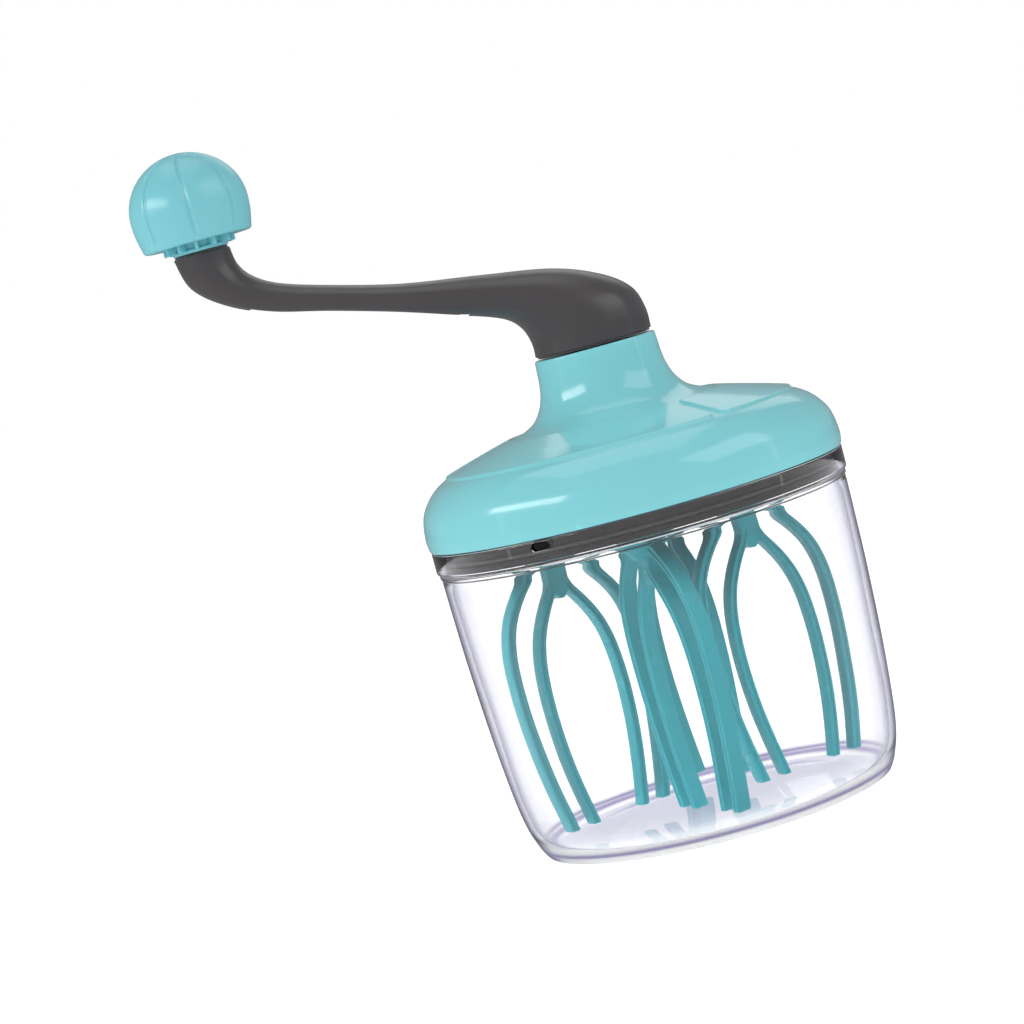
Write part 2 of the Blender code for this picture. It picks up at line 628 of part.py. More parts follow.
def make_crank():
    rings = crank_rings()
    arm = loft("crank_arm", [arm_section(*ring) for ring in rings], GREY)
    covered = rings[COVER_FIRST:COVER_LAST + 1]
    pocket = [slab_section(u, t, w * COVER_HALF_WIDTH, -OVERCUT, POCKET_DEPTH) for u, t, w, _ in covered]
    cut(arm, loft("arm_pocket", pocket))
    cover = [slab_section(u, t, w * COVER_HALF_WIDTH - GAP, COVER_RECESS, COVER_RECESS + COVER_T)
             for u, t, w, _ in covered[1:-1]]
    loft("crank_cover", cover, GREY)
    hub, post = (0.0, 0.0), (POST_X, 0.0)
    hub_low, hub_high = HUB_BOTTOM_Z - OVERCUT, SHAFT_TOP_Z + GAP
    cut(arm, cylinders("hub_bore", SHAFT_R + GAP, hub_low, hub_high, [hub], SHAFT_STEPS))
    cut(arm, cylinders("post_bore", PIN_R + GAP, PIN_BOTTOM_Z - GAP, POST_TOP_Z + OVERCUT, [post]))
    head_top = PIN_HEAD_Z + PIN_HEAD_H
    pin = [(0.0, head_top), (PIN_HEAD_R - PIN_CHAMFER, head_top), (PIN_HEAD_R, head_top - PIN_CHAMFER),
           (PIN_HEAD_R, PIN_HEAD_Z), (PIN_R, PIN_HEAD_Z), (PIN_R, PIN_BOTTOM_Z), (0.0, PIN_BOTTOM_Z)]
    turned("knob_pin", pin, STEEL, at=post)
    washer = tube(HUB_WASHER_R, SHAFT_R + GAP, NECK_TOP_Z + GAP, HUB_BOTTOM_Z - GAP)
    turned("hub_washer", washer, STEEL, SHAFT_STEPS)


# ---------------------------------------------------------------- knob

def quarter_dome(radius, height, z_wide, steps):
    """From the top of a half ellipse down to its widest point."""
    return [(radius * math.sin(math.pi / 2 * i / steps), z_wide + height * math.cos(math.pi / 2 * i / steps))
            for i in range(steps + 1)]


def make_knob():
    post = (POST_X, 0.0)
    height = KNOB_TOP_Z - KNOB_WIDE_Z
    dome = quarter_dome(KNOB_R, height, KNOB_WIDE_Z, 6)
    hollow = quarter_dome(KNOB_R - KNOB_WALL, height - KNOB_WALL, KNOB_WIDE_Z, 5)
    opening = CORE_R + GAP
    outside = [(KNOB_R - 0.3, 230.0), (KNOB_EDGE_R, KNOB_EDGE_Z), (KNOB_EDGE_R - 1.4, KNOB_BOTTOM_Z)]
    inside = [(opening, KNOB_BOTTOM_Z), (opening, KNOB_BOTTOM_Z + KNOB_WALL),
              (KNOB_EDGE_R - KNOB_WALL, KNOB_BOTTOM_Z + KNOB_WALL)]
    shell = turned("knob_shell", [*dome, *outside, *inside, *hollow[::-1]], TEAL, MID_STEPS, post)
    for number in range(KNOB_FLUTES):
        cut(shell, knob_flute(f"flute_{number}", FIRST_FLUTE_ANGLE + 360.0 / KNOB_FLUTES * number))
    bore = PIN_R + RUNNING
    sleeve = [(SLEEVE_R, SLEEVE_TOP_Z), (SLEEVE_R, CORE_TOP_Z), (CORE_R, CORE_TOP_Z), (CORE_R, CORE_FLOOR_Z),
              (CORE_LIP_R, CORE_FLOOR_Z), (CORE_LIP_R, CORE_BOTTOM_Z), (bore, CORE_BOTTOM_Z),
              (bore, SLEEVE_TOP_Z)]
    core = turned("knob_core", sleeve, TEAL, MID_STEPS, post)
    spots = []
    for number in range(CORE_POCKETS):
        degrees = 360.0 / CORE_POCKETS * number
        x, y = around(POCKET_CIRCLE_R, degrees)
        spots.append(Matrix.Translation((POST_X + x, y, CORE_FLOOR_Z))
                     @ Matrix.Rotation(math.radians(degrees), 4, "Z"))
    cut(core, boxes("core_pockets", POCKET_SIZE, spots))


def knob_flute(name, degrees):
    """A thin ring whose edge runs down the dome's outside as a shallow flute."""
    mesh = bpy.data.meshes.new(name)
    shape = bmesh.new()
    direction = Vector((math.cos(math.radians(degrees)), math.sin(math.radians(degrees)), 0.0))
    side = Vector((-direction.y, direction.x, 0.0))
    rings = []
    for step in range(FLUTE_STEPS + 1):
        share = step / FLUTE_STEPS
        angle = math.radians(FLUTE_LOW_ANGLE + (FLUTE_HIGH_ANGLE - FLUTE_LOW_ANGLE) * share)
        out = direction * math.cos(angle) + Vector((0.0, 0.0, math.sin(angle)))
        middle = direction * (KNOB_R * math.cos(angle))
        middle.z = (KNOB_TOP_Z - KNOB_WIDE_Z) * math.sin(angle)
        corners = (middle - out * FLUTE_R, middle + out + side * FLUTE_R, middle + out - side * FLUTE_R)
        rings.append([shape.verts.new(corner * MM) for corner in corners])
    for low, high in zip(rings, rings[1:]):
        for index in range(3):
            after = (index + 1) % 3
            shape.faces.new((low[index], low[after], high[after], high[index]))
    shape.faces.new(rings[0])
    shape.faces.new(rings[-1])
    bmesh.ops.recalc_face_normals(shape, faces=shape.faces)
    shape.to_mesh(mesh)
    shape.free()
    made = place(mesh, name, None, (POST_X, 0.0))
    made.location.z = KNOB_WIDE_Z * MM
    return made


make_container()
make_lid_cover()
make_gear_plate()
make_neck_bush()
make_drive_gear()
make_pinions()
make_whisks()
make_crank()
make_knob()
for thing in [*PARTS.objects, *CUTTERS.objects]:
    thing.location.z -= FOOT_Z * MM
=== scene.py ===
"""The hand-cranked beater's looks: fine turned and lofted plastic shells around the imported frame.

Lengths in the tables below are millimetres, like the part's own sizes, and heights are measured from
3 mm above the worktop. Places come from the frame.
"""

import math

import bmesh
import bpy
from mathutils import Matrix, Vector


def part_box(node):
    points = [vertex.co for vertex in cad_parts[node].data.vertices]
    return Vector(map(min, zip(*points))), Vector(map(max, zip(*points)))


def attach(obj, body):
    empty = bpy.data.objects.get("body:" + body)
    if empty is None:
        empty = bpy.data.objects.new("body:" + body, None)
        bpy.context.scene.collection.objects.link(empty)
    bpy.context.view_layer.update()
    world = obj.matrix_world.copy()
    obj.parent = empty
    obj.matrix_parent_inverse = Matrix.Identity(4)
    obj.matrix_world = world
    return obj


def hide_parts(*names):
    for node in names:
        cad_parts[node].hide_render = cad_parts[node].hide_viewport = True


MM = 0.001
DATUM = Vector((0.0, 0.0, 3.0))
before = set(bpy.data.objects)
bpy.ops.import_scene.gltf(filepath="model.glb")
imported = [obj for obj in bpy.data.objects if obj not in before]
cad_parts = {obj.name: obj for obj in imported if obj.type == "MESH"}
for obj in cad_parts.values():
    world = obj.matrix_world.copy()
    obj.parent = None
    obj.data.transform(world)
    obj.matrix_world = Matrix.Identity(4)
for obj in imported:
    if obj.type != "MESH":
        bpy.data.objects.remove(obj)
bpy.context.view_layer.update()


def low_mm(node):
    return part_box(node)[0] / MM - DATUM


def high_mm(node):
    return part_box(node)[1] / MM - DATUM


def middle_mm(node):
    return (low_mm(node) + high_mm(node)) / 2


# Places and sizes that the frame gives, in millimetres
RIM_Z = high_mm("container").z
COLLAR_R = high_mm("container").x
LID_R = high_mm("lid_cover").x
LID_EDGE_Z = RIM_Z + 0.3
NECK_TOP_Z = high_mm("neck_bush").z
SKIRT_BOTTOM_Z = low_mm("gear_plate").z
SKIRT_R = high_mm("gear_plate").x
HUB_BOTTOM_Z = low_mm("crank_arm").z
POST_TOP_Z = high_mm("crank_arm").z
POST_X = middle_mm("knob_pin").x
KNOB_TOP_Z = high_mm("knob_shell").z
KNOB_BOTTOM_Z = low_mm("knob_shell").z
KNOB_R = (high_mm("knob_shell").y - low_mm("knob_shell").y) / 2
CORE_BOTTOM_Z = low_mm("knob_core").z
WHISK_TOP_Z = high_mm("whisk_front").z
TINE_TIP_Z = low_mm("whisk_front").z
WHISK_TURN = {"left": 30.0, "right": 25.0, "front": -66.0, "back": -62.0}

ROUND_STEPS = 192
ON_AXIS = 0.001          # a profile point with a smaller radius than this is on the axis
WELD_GAP = 0.000001      # in metres


# ---------------------------------------------------------------- shapes

def smooth_line(points, steps):
    """A Catmull-Rom line through the points, with the given steps in each span."""
    padded = [points[0], *points, points[-1]]
    line = []
    for index in range(len(points) - 1):
        before, start, end, after = (Vector(p) for p in padded[index:index + 4])
        for step in range(steps):
            t = step / steps
            line.append(0.5 * (2 * start + (end - before) * t
                               + (2 * before - 5 * start + 4 * end - after) * t * t
                               + (3 * start - before - 3 * end + after) * t ** 3))
    line.append(Vector(points[-1]))
    return line


def rounded_corners(corners, steps=5):
    """A line through (r, z, radius) corners, each turned with an arc of its own radius."""
    line = []
    count = len(corners)
    for index, (r, z, radius) in enumerate(corners):
        here = Vector((r, z))
        if radius == 0.0 or index in (0, count - 1):
            line.append(here)
            continue
        back = Vector(corners[index - 1][:2]) - here
        ahead = Vector(corners[index + 1][:2]) - here
        half = back.angle(ahead) / 2
        reach = min(radius / math.tan(half), back.length * 0.49, ahead.length * 0.49)
        true_radius = reach * math.tan(half)
        inward = (back.normalized() + ahead.normalized()).normalized()
        centre = here + inward * (true_radius / math.sin(half))
        start = here + back.normalized() * reach - centre
        sweep = start.angle_signed(here + ahead.normalized() * reach - centre)
        for step in range(steps + 1):
            line.append(centre + Matrix.Rotation(-sweep * step / steps, 2) @ start)
    return line


def mesh_object(name, verts, faces, sharp=35.0):
    """A smooth-shaded mesh object, its normals facing out, from coordinates in millimetres."""
    mesh = bpy.data.meshes.new(name)
    mesh.from_pydata([(Vector(v) + DATUM) * MM for v in verts], [], faces)
    shape = bmesh.new()
    shape.from_mesh(mesh)
    bmesh.ops.remove_doubles(shape, verts=shape.verts, dist=WELD_GAP)
    bmesh.ops.recalc_face_normals(shape, faces=shape.faces)
    shape.to_mesh(mesh)
    shape.free()
    mesh.shade_smooth()
    mesh.set_sharp_from_angle(angle=math.radians(sharp))
    made = bpy.data.objects.new(name, mesh)
    bpy.context.scene.collection.objects.link(made)
    return made


def even_angles(count=ROUND_STEPS):
    return [2 * math.pi * step / count for step in range(count)]


def revolve(name, profile, angles=None, centre=(0.0, 0.0), relief=None, sharp=35.0):
    """A turned solid. The profile closes on itself, or starts and ends on the axis.

    relief(angle, radius, z) gives how far the surface stands off the profile, along its normal.
    """
    angles = angles or even_angles()
    closed = profile[0][0] > 0.0
    count = len(angles)
    verts = []
    starts = []
    for index, (radius, z) in enumerate(profile):
        starts.append(len(verts))
        if radius < ON_AXIS:
            verts.append((centre[0], centre[1], z))
            continue
        before = Vector(profile[index - 1 if closed else max(index - 1, 0)])
        after = Vector(profile[(index + 1) % len(profile) if closed else min(index + 1, len(profile) - 1)])
        along = (after - before).normalized()
        for angle in angles:
            off = relief(angle, radius, z) if relief else 0.0
            r_here, z_here = radius - along.y * off, z + along.x * off
            verts.append((centre[0] + r_here * math.cos(angle), centre[1] + r_here * math.sin(angle), z_here))
    faces = []
    spans = len(profile) if closed else len(profile) - 1
    for index in range(spans):
        after = (index + 1) % len(profile)
        one, two = starts[index], starts[after]
        for step in range(count):
            turn = (step + 1) % count
            if profile[index][0] < ON_AXIS:
                faces.append((one, two + step, two + turn))
            elif profile[after][0] < ON_AXIS:
                faces.append((one + turn, one + step, two))
            else:
                faces.append((one + step, two + step, two + turn, one + turn))
    return mesh_object(name, verts, faces, sharp)


def rod(name, radius, top, bottom, centre, steps):
    """A plain upright cylinder to cut a hole with."""
    profile = [Vector((0.0, top)), Vector((radius, top)), Vector((radius, bottom)), Vector((0.0, bottom))]
    return revolve(name, profile, even_angles(steps), centre)


def loft(name, rings, sharp=35.0):
    """A solid through closed rings of equal point counts, with flat ends."""
    verts = [point for ring in rings for point in ring]
    count = len(rings[0])
    faces = [tuple(range(count - 1, -1, -1))]
    for row in range(len(rings) - 1):
        for index in range(count):
            after = (index + 1) % count
            faces.append((row * count + index, row * count + after,
                          (row + 1) * count + after, (row + 1) * count + index))
    last = (len(rings) - 1) * count
    faces.append(tuple(range(last, last + count)))
    return mesh_object(name, verts, faces, sharp)


def apply_boolean(piece, tool, operation):
    """Joins or cuts the piece with a tool object, which is used up."""
    step = piece.modifiers.new(operation.lower(), "BOOLEAN")
    step.operation = operation
    step.solver = "EXACT"
    step.object = tool
    settle(piece)
    bpy.data.objects.remove(tool, do_unlink=True)


def settle(piece, sharp=35.0):
    """Turns the piece's modifiers into its own mesh."""
    depsgraph = bpy.context.evaluated_depsgraph_get()
    mesh = bpy.data.meshes.new_from_object(piece.evaluated_get(depsgraph))
    piece.modifiers.clear()
    piece.data = mesh
    mesh.shade_smooth()
    mesh.set_sharp_from_angle(angle=math.radians(sharp))


def bevel(piece, width, segments=3, angle=35.0):
    """Rounds the piece's sharp edges. It takes effect when the piece is settled."""
    step = piece.modifiers.new("edges", "BEVEL")
    step.width = width * MM
    step.segments = segments
    step.limit_method = "ANGLE"
    step.angle_limit = math.radians(angle)
    step.harden_normals = True


def finished(piece, body, material, node):
    """Gives the piece its material and body, and puts it in the place of its CAD node."""
    piece.data.materials.clear()
    piece.data.materials.append(material)
    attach(piece, body)
    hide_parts(node)


def box_tool(name, size, matrix):
    """A plain box to cut or join with, placed by a matrix in millimetres."""
    mesh = bpy.data.meshes.new(name)
    shape = bmesh.new()
    to_metres = Matrix.Scale(MM, 4) @ Matrix.Translation(DATUM)
    bmesh.ops.create_cube(shape, size=1.0, matrix=to_metres @ matrix @ Matrix.Diagonal((*size, 1.0)))
    shape.to_mesh(mesh)
    shape.free()
    made = bpy.data.objects.new(name, mesh)
    bpy.context.scene.collection.objects.link(made)
    return made


# ---------------------------------------------------------------- materials

def tree_for(name):
    """A new material with its nodes, its links and its main shader."""
    material = bpy.data.materials.new(name)
    material.use_nodes = True
    nodes = material.node_tree.nodes
    return material, nodes, material.node_tree.links, nodes["Principled BSDF"]


def noise(nodes, links, scale, detail=3.0):
    """Noise in the object's own metres, so that it stays at its real size."""
    place = nodes.new("ShaderNodeTexCoord")
    made = nodes.new("ShaderNodeTexNoise")
    made.inputs["Scale"].default_value = scale
    made.inputs["Detail"].default_value = detail
    links.new(place.outputs["Object"], made.inputs["Vector"])
    return made


def blend_colour(nodes, links, factor, first, second):
    mix = nodes.new("ShaderNodeMix")
    mix.data_type = "RGBA"
    mix.inputs["A"].default_value = (*first, 1.0)
    mix.inputs["B"].default_value = (*second, 1.0)
    links.new(factor, mix.inputs["Factor"])
    return mix.outputs["Result"]


def tinted(nodes, links, factor, under, colour):
    """A socket's colour, with a plain colour laid over it by the factor."""
    mix = nodes.new("ShaderNodeMix")
    mix.data_type = "RGBA"
    mix.inputs["B"].default_value = (*colour, 1.0)
    links.new(factor, mix.inputs["Factor"])
    links.new(under, mix.inputs["A"])
    return mix.outputs["Result"]


def calculate(nodes, links, operation, first, second, clamp=False):
    """A Math node's result from a socket and either a second socket or a plain number."""
    step = nodes.new("ShaderNodeMath")
    step.operation = operation
    step.use_clamp = clamp
    links.new(first, step.inputs[0])
    if isinstance(second, float):
        step.inputs[1].default_value = second
    else:
        links.new(second, step.inputs[1])
    return step.outputs["Value"]


def add_bump(nodes, links, shader, height, strength, depth):
    """Bump on the shader from a height socket. The depth is in millimetres."""
    bump = nodes.new("ShaderNodeBump")
    bump.inputs["Strength"].default_value = strength
    bump.inputs["Distance"].default_value = depth * MM
    links.new(height, bump.inputs["Height"])
    links.new(bump.outputs["Normal"], shader.inputs["Normal"])


def spread(nodes, links, source, low, high, start=0.3, end=0.7):
    """Maps start..end, by default a noise's usual range, on to low..high."""
    ramp = nodes.new("ShaderNodeMapRange")
    ramp.inputs["From Min"].default_value = start
    ramp.inputs["From Max"].default_value = end
    ramp.inputs["To Min"].default_value = low
    ramp.inputs["To Max"].default_value = high
    links.new(source, ramp.inputs["Value"])
    return ramp.outputs["Result"]


# Sharp edges are painted lighter: a painted highlight where edges catch the light
EDGE_HIGHLIGHT_SHARE = 0.5
EDGE_HIGHLIGHT_POINTINESS = (0.53, 0.62)     # where an edge starts to take the painted highlight, and where it is fully so
GLOSS_SWING = 0.18
PLASTIC_IOR = 1.5


def plastic(name, colour, roughness, grain, grain_depth, tone=0.05, coat=0.0, soft=0.0, shine=0.5):
    """Moulded plastic: slow tone drift, flow marks in the gloss, fine grain, and sharp edges painted lighter
    as a painted highlight.
    """
    material, nodes, links, shader = tree_for(name)
    darker = tuple(c * (1 - tone) for c in colour)
    lighter = tuple(min(1.0, c * (1 + tone)) for c in colour)
    pale = tuple(min(1.0, c * 1.25 + 0.02) for c in colour)
    drift = noise(nodes, links, 22.0)
    base = blend_colour(nodes, links, spread(nodes, links, drift.outputs["Fac"], 0.0, 1.0), darker, lighter)
    # Painted highlight: sharp edges blend towards a paler copy of the colour
    edge = nodes.new("ShaderNodeNewGeometry")
    edge_highlight = spread(nodes, links, edge.outputs["Pointiness"], 0.0, EDGE_HIGHLIGHT_SHARE, *EDGE_HIGHLIGHT_POINTINESS)
    links.new(tinted(nodes, links, edge_highlight, base, pale), shader.inputs["Base Color"])
    flow = noise(nodes, links, 60.0, 5.0)
    gloss = spread(nodes, links, flow.outputs["Fac"], roughness * (1 - GLOSS_SWING),
                   roughness * (1 + GLOSS_SWING))
    links.new(gloss, shader.inputs["Roughness"])
    fine = noise(nodes, links, grain, 2.0)
    add_bump(nodes, links, shader, fine.outputs["Fac"], 0.35, grain_depth)
    shader.inputs["IOR"].default_value = PLASTIC_IOR
    shader.inputs["Specular IOR Level"].default_value = shine
    shader.inputs["Coat Weight"].default_value = coat
    shader.inputs["Coat Roughness"].default_value = 0.05
    shader.inputs["Subsurface Weight"].default_value = soft
    shader.inputs["Subsurface Radius"].default_value = (0.3, 0.8, 1.0)
    shader.inputs["Subsurface Scale"].default_value = 0.002
    return material


CLEAR_IOR = 1.49
# How far the wall is turned from the viewer (0 is face on, 1 is edge on), and its colour there: a faint real
# tint face on, darkening to a painted shade near edge on that stands in for dark surroundings seen in the
# wall's edges
WALL_TINTS_AND_EDGE_SHADE = (
    (0.0, (0.992, 0.992, 0.996)),
    (0.50, (0.96, 0.96, 0.98)),
    (0.72, (0.78, 0.78, 0.87)),
    (0.82, (0.22, 0.21, 0.38)),
    (0.89, (0.01, 0.01, 0.05)),
)
# Heights above the worktop, in metres
UNDERSIDE_Z = 0.0002                   # only the resting face is lower
FLOOR_EDGE_SHADE_STARTS = (0.0044, 0.0052)
FLOOR_EDGE_SHADE_ENDS = (0.0058, 0.0072)
FLOOR_EDGE_SHADE_COLOUR = (0.14, 0.11, 0.29)   # painted shade: a dark line for the thick floor seen edge on


def clear_plastic():
    """Clear moulded plastic: nearly colourless face on, with a painted blue-violet to near-black shade where
    the wall is seen edge on, and a painted dark line along the thick floor's edge.
    """
    material, nodes, links, shader = tree_for("clear_bowl_plastic")
    # Painted edge shade: the wall's colour darkens as the wall turns edge on
    graze = nodes.new("ShaderNodeLayerWeight")
    graze.inputs["Blend"].default_value = 0.5
    ramp = nodes.new("ShaderNodeValToRGB")
    elements = ramp.color_ramp.elements
    for number, (position, colour) in enumerate(WALL_TINTS_AND_EDGE_SHADE):
        stop = elements[number] if number < 2 else elements.new(position)
        stop.position = position
        stop.color = (*colour, 1.0)
    links.new(graze.outputs["Facing"], ramp.inputs["Fac"])
    # Painted shade: a dark band at the height of the thick floor's edge, laid over the wall's colour
    height = height_above_worktop(nodes, links)
    starts = spread(nodes, links, height, 0.0, 1.0, *FLOOR_EDGE_SHADE_STARTS)
    ends = spread(nodes, links, height, 1.0, 0.0, *FLOOR_EDGE_SHADE_ENDS)
    floor_edge_shade_mask = calculate(nodes, links, "MULTIPLY", starts, ends)
    wall = tinted(nodes, links, floor_edge_shade_mask, ramp.outputs["Color"], FLOOR_EDGE_SHADE_COLOUR)
    links.new(wall, shader.inputs["Base Color"])
    smear = noise(nodes, links, 35.0, 4.0)
    links.new(spread(nodes, links, smear.outputs["Fac"], 0.0, 0.008, 0.45, 0.75), shader.inputs["Roughness"])
    ripple = noise(nodes, links, 14.0, 1.0)
    add_bump(nodes, links, shader, ripple.outputs["Fac"], 0.10, 0.12)
    shader.inputs["Transmission Weight"].default_value = 1.0
    shader.inputs["IOR"].default_value = CLEAR_IOR
    cloud = noise(nodes, links, 50.0)
    tint = blend_colour(nodes, links, cloud.outputs["Fac"], (0.93, 0.93, 0.97), (0.97, 0.97, 0.99))
    let_through(nodes, links, shader, calculate(nodes, links, "LESS_THAN", height, UNDERSIDE_Z), tint)
    return material


def height_above_worktop(nodes, links):
    """A socket with the height in metres. The pieces' own coordinates are the frame's at rest."""
    place = nodes.new("ShaderNodeTexCoord")
    parts = nodes.new("ShaderNodeSeparateXYZ")
    links.new(place.outputs["Object"], parts.inputs["Vector"])
    return parts.outputs["Z"]


def let_through(nodes, links, shader, share, colour):
    """Lets a share of the light straight through, as in a face that rests on the worktop."""
    straight = nodes.new("ShaderNodeBsdfTransparent")
    mix = nodes.new("ShaderNodeMixShader")
    links.new(colour, straight.inputs["Color"])
    links.new(share, mix.inputs["Fac"])
    links.new(shader.outputs["BSDF"], mix.inputs[1])
    links.new(straight.outputs["BSDF"], mix.inputs[2])
    links.new(mix.outputs["Shader"], nodes["Material Output"].inputs["Surface"])


def steel():
    """Turned steel: fine rings of brushing and slightly uneven gloss."""
    material, nodes, links, shader = tree_for("turned_steel")
    place = nodes.new("ShaderNodeTexCoord")
    rings = nodes.new("ShaderNodeTexWave")
    rings.bands_direction = "Z"
    rings.inputs["Scale"].default_value = 900.0
    rings.inputs["Distortion"].default_value = 1.5
    links.new(place.outputs["Object"], rings.inputs["Vector"])
    patches = noise(nodes, links, 180.0, 4.0)
    links.new(blend_colour(nodes, links, spread(nodes, links, patches.outputs["Fac"], 0.0, 1.0),
                           (0.50, 0.50, 0.52), (0.68, 0.68, 0.70)), shader.inputs["Base Color"])
    links.new(spread(nodes, links, patches.outputs["Fac"], 0.22, 0.36), shader.inputs["Roughness"])
    add_bump(nodes, links, shader, rings.outputs["Fac"], 0.2, 0.02)
    shader.inputs["Metallic"].default_value = 1.0
    return material


TEAL = (0.215, 0.600, 0.650)
KNOB_TEAL = (0.180, 0.525, 0.590)
WHISK_TEAL = (0.020, 0.345, 0.400)
WARM_GREY = (0.058, 0.053, 0.056)
BAND_GREY = (0.012, 0.010, 0.011)
OFF_WHITE = (0.76, 0.75, 0.71)
SEAL_BLACK = (0.035, 0.033, 0.034)

CLEAR_PLASTIC = clear_plastic()
LID_PLASTIC = plastic("glossy_teal_plastic", TEAL, 0.16, 1500.0, 0.006, tone=0.03, coat=0.25, soft=0.04)
KNOB_PLASTIC = plastic("satin_teal_plastic", KNOB_TEAL, 0.27, 2600.0, 0.02, tone=0.03, soft=0.04)
WHISK_PLASTIC = plastic("deep_teal_plastic", WHISK_TEAL, 0.28, 2200.0, 0.012, tone=0.06, shine=0.2)
GREY_PLASTIC = plastic("satin_grey_plastic", WARM_GREY, 0.31, 2600.0, 0.03, tone=0.08)
BAND_PLASTIC = plastic("glossy_grey_plastic", BAND_GREY, 0.40, 1500.0, 0.006, tone=0.08, shine=0.12)
BEARING_PLASTIC = plastic("off_white_plastic", OFF_WHITE, 0.38, 2000.0, 0.02, tone=0.03, soft=0.1)
SEAL_RUBBER = plastic("soft_seal_rubber", SEAL_BLACK, 0.62, 3000.0, 0.04, tone=0.1)
STEEL = steel()


# ---------------------------------------------------------------- container

COLLAR_BORE_R = 67.3
WINDOW_ANGLES = (-120.0, 60.0)
WINDOW_Z = 104.0
WINDOW_HALF_W = 3.5
WINDOW_HALF_H = 1.3
WINDOW_CORNER = 1.1
WINDOW_FLARE = 0.35


def make_container():
    """One turned shell with a floor, a collar and a foot, and two latch windows cut through the collar."""
    floor_z = 1.0
    foot_z = low_mm("container").z
    wall = smooth_line([(68.2, 94.0), (68.0, 84.0), (67.5, 66.0), (66.2, 41.0), (64.4, 20.0),
                        (62.7, 9.6), (60.3, 2.6)], 5)
    inside = smooth_line([(54.8, 1.6), (59.4, 6.4), (62.0, 18.0), (63.8, 41.0), (65.3, 66.0),
                          (65.9, 84.0), (66.0, 94.0)], 5)
    rim = rounded_corners([(66.05, 96.6, 0.0), (66.2, 97.6, 0.6),
                           (COLLAR_BORE_R, 98.7, 0.5), (COLLAR_BORE_R, RIM_Z, 0.5),
                           (COLLAR_R, RIM_Z, 0.7), (COLLAR_R, 98.9, 0.7), (68.6, 98.3, 0.4),
                           (68.6, 97.0, 0.4), (68.2, 96.5, 0.3), (68.2, 95.6, 0.0)], 4)
    foot = rounded_corners([(59.4, 0.9, 0.0), (57.4, -2.0, 2.5), (54.4, foot_z, 1.5), (52.0, foot_z, 0.0)], 4)
    base = [Vector((0.0, floor_z)), Vector((25.0, floor_z)), Vector((46.0, floor_z)),
            Vector((52.0, floor_z + 0.05))]
    under = [Vector((25.0, foot_z)), Vector((0.0, foot_z))]
    bowl = revolve("clear_container", [*base, *inside, *rim, *wall, *foot, *under], even_angles(256))
    for number, angle in enumerate(WINDOW_ANGLES, 1):
        apply_boolean(bowl, latch_window(number, angle), "DIFFERENCE")
    bowl.visible_shadow = False
    finished(bowl, "container", CLEAR_PLASTIC, "container")


def latch_window(number, angle):
    """The six-sided window through the collar, a little wider outside than inside."""
    turn = Matrix.Rotation(math.radians(angle), 3, "Z")
    rings = []
    for radius, grow in ((COLLAR_BORE_R - 2.0, 0.0), (COLLAR_R - 0.5, 0.0),
                         (COLLAR_R + 0.3, WINDOW_FLARE), (COLLAR_R + 2.0, WINDOW_FLARE)):
        half_w = WINDOW_HALF_W + grow
        half_h = WINDOW_HALF_H + grow
        inner_w = half_w - WINDOW_CORNER
        outline = rounded_corners([(0.0, half_h, 0.0), (inner_w, half_h, 0.4), (half_w, 0.0, 0.4),
                                   (inner_w, -half_h, 0.4), (-inner_w, -half_h, 0.4), (-half_w, 0.0, 0.4),
                                   (-inner_w, half_h, 0.4), (-0.1, half_h, 0.0)], 3)
        rings.append([turn @ Vector((radius, y, WINDOW_Z + z)) for y, z in outline])
    return loft(f"latch_window_{number}", rings)


# ---------------------------------------------------------------- lid

PANEL_INNER_R = 34.7
PANEL_OUTER_R = 58.6
PANEL_STEP = 0.8
PANEL_CORNER = 3.0
PANEL_EDGE = 0.8          # width of the slope at a panel's edge
PANEL_GAP = 1.2           # half the groove between two panels
PANEL_ANGLES = [math.radians(a) for a in (-59.0, 61.0, 181.0)]
PANEL_ROW_GAP = 0.42      # between the profile's points where the panels are
PANEL_MARGIN = 2.5        # how far past the panels those points go on
COARSE_STEPS = 240
FINE_STEP = math.radians(0.22)
FINE_COUNT = 44           # on each side of a groove
FINE_REACH = math.radians(9.5)
NECK_BORE_R = 8.3


def nearest_groove(angle):
    """The angle to the nearest radial groove, always positive."""
    return min(abs((angle - groove + math.pi) % (2 * math.pi) - math.pi) for groove in PANEL_ANGLES)


def panel_relief(angle, radius, _z):
    """How far the lid's panels stand up: a rounded rectangle in radius and arc length."""
    if not PANEL_INNER_R < radius < PANEL_OUTER_R:
        return 0.0
    half_r = (PANEL_OUTER_R - PANEL_INNER_R) / 2
    from_middle = abs(radius - (PANEL_OUTER_R + PANEL_INNER_R) / 2) - half_r + PANEL_CORNER
    from_groove = PANEL_GAP + PANEL_CORNER - radius * math.sin(min(nearest_groove(angle), math.pi / 2))
    outside = math.hypot(max(from_middle, 0.0), max(from_groove, 0.0))
    distance = outside + min(max(from_middle, from_groove), 0.0) - PANEL_CORNER
    share = min(max(-distance / PANEL_EDGE, 0.0), 1.0)
    return PANEL_STEP * share * share * (3 - 2 * share)


def lid_angles():
    """The lid's steps round the axis, closer together near the radial grooves."""
    angles = set()
    for step in range(COARSE_STEPS):
        angle = 2 * math.pi * step / COARSE_STEPS
        if nearest_groove(angle) > FINE_REACH:
            angles.add(round(angle, 6))
    for groove in PANEL_ANGLES:
        for step in range(-FINE_COUNT, FINE_COUNT + 1):
            angles.add(round((groove + FINE_STEP * step) % (2 * math.pi), 6))
    return sorted(angles)


def dense(line, gap):
    """The same line with points no further apart than the gap."""
    out = [Vector(line[0])]
    for start, end in zip(line, line[1:]):
        start, end = Vector(start), Vector(end)
        steps = max(1, math.ceil((end - start).length / gap))
        out.extend(start.lerp(end, step / steps) for step in range(1, steps + 1))
    return out


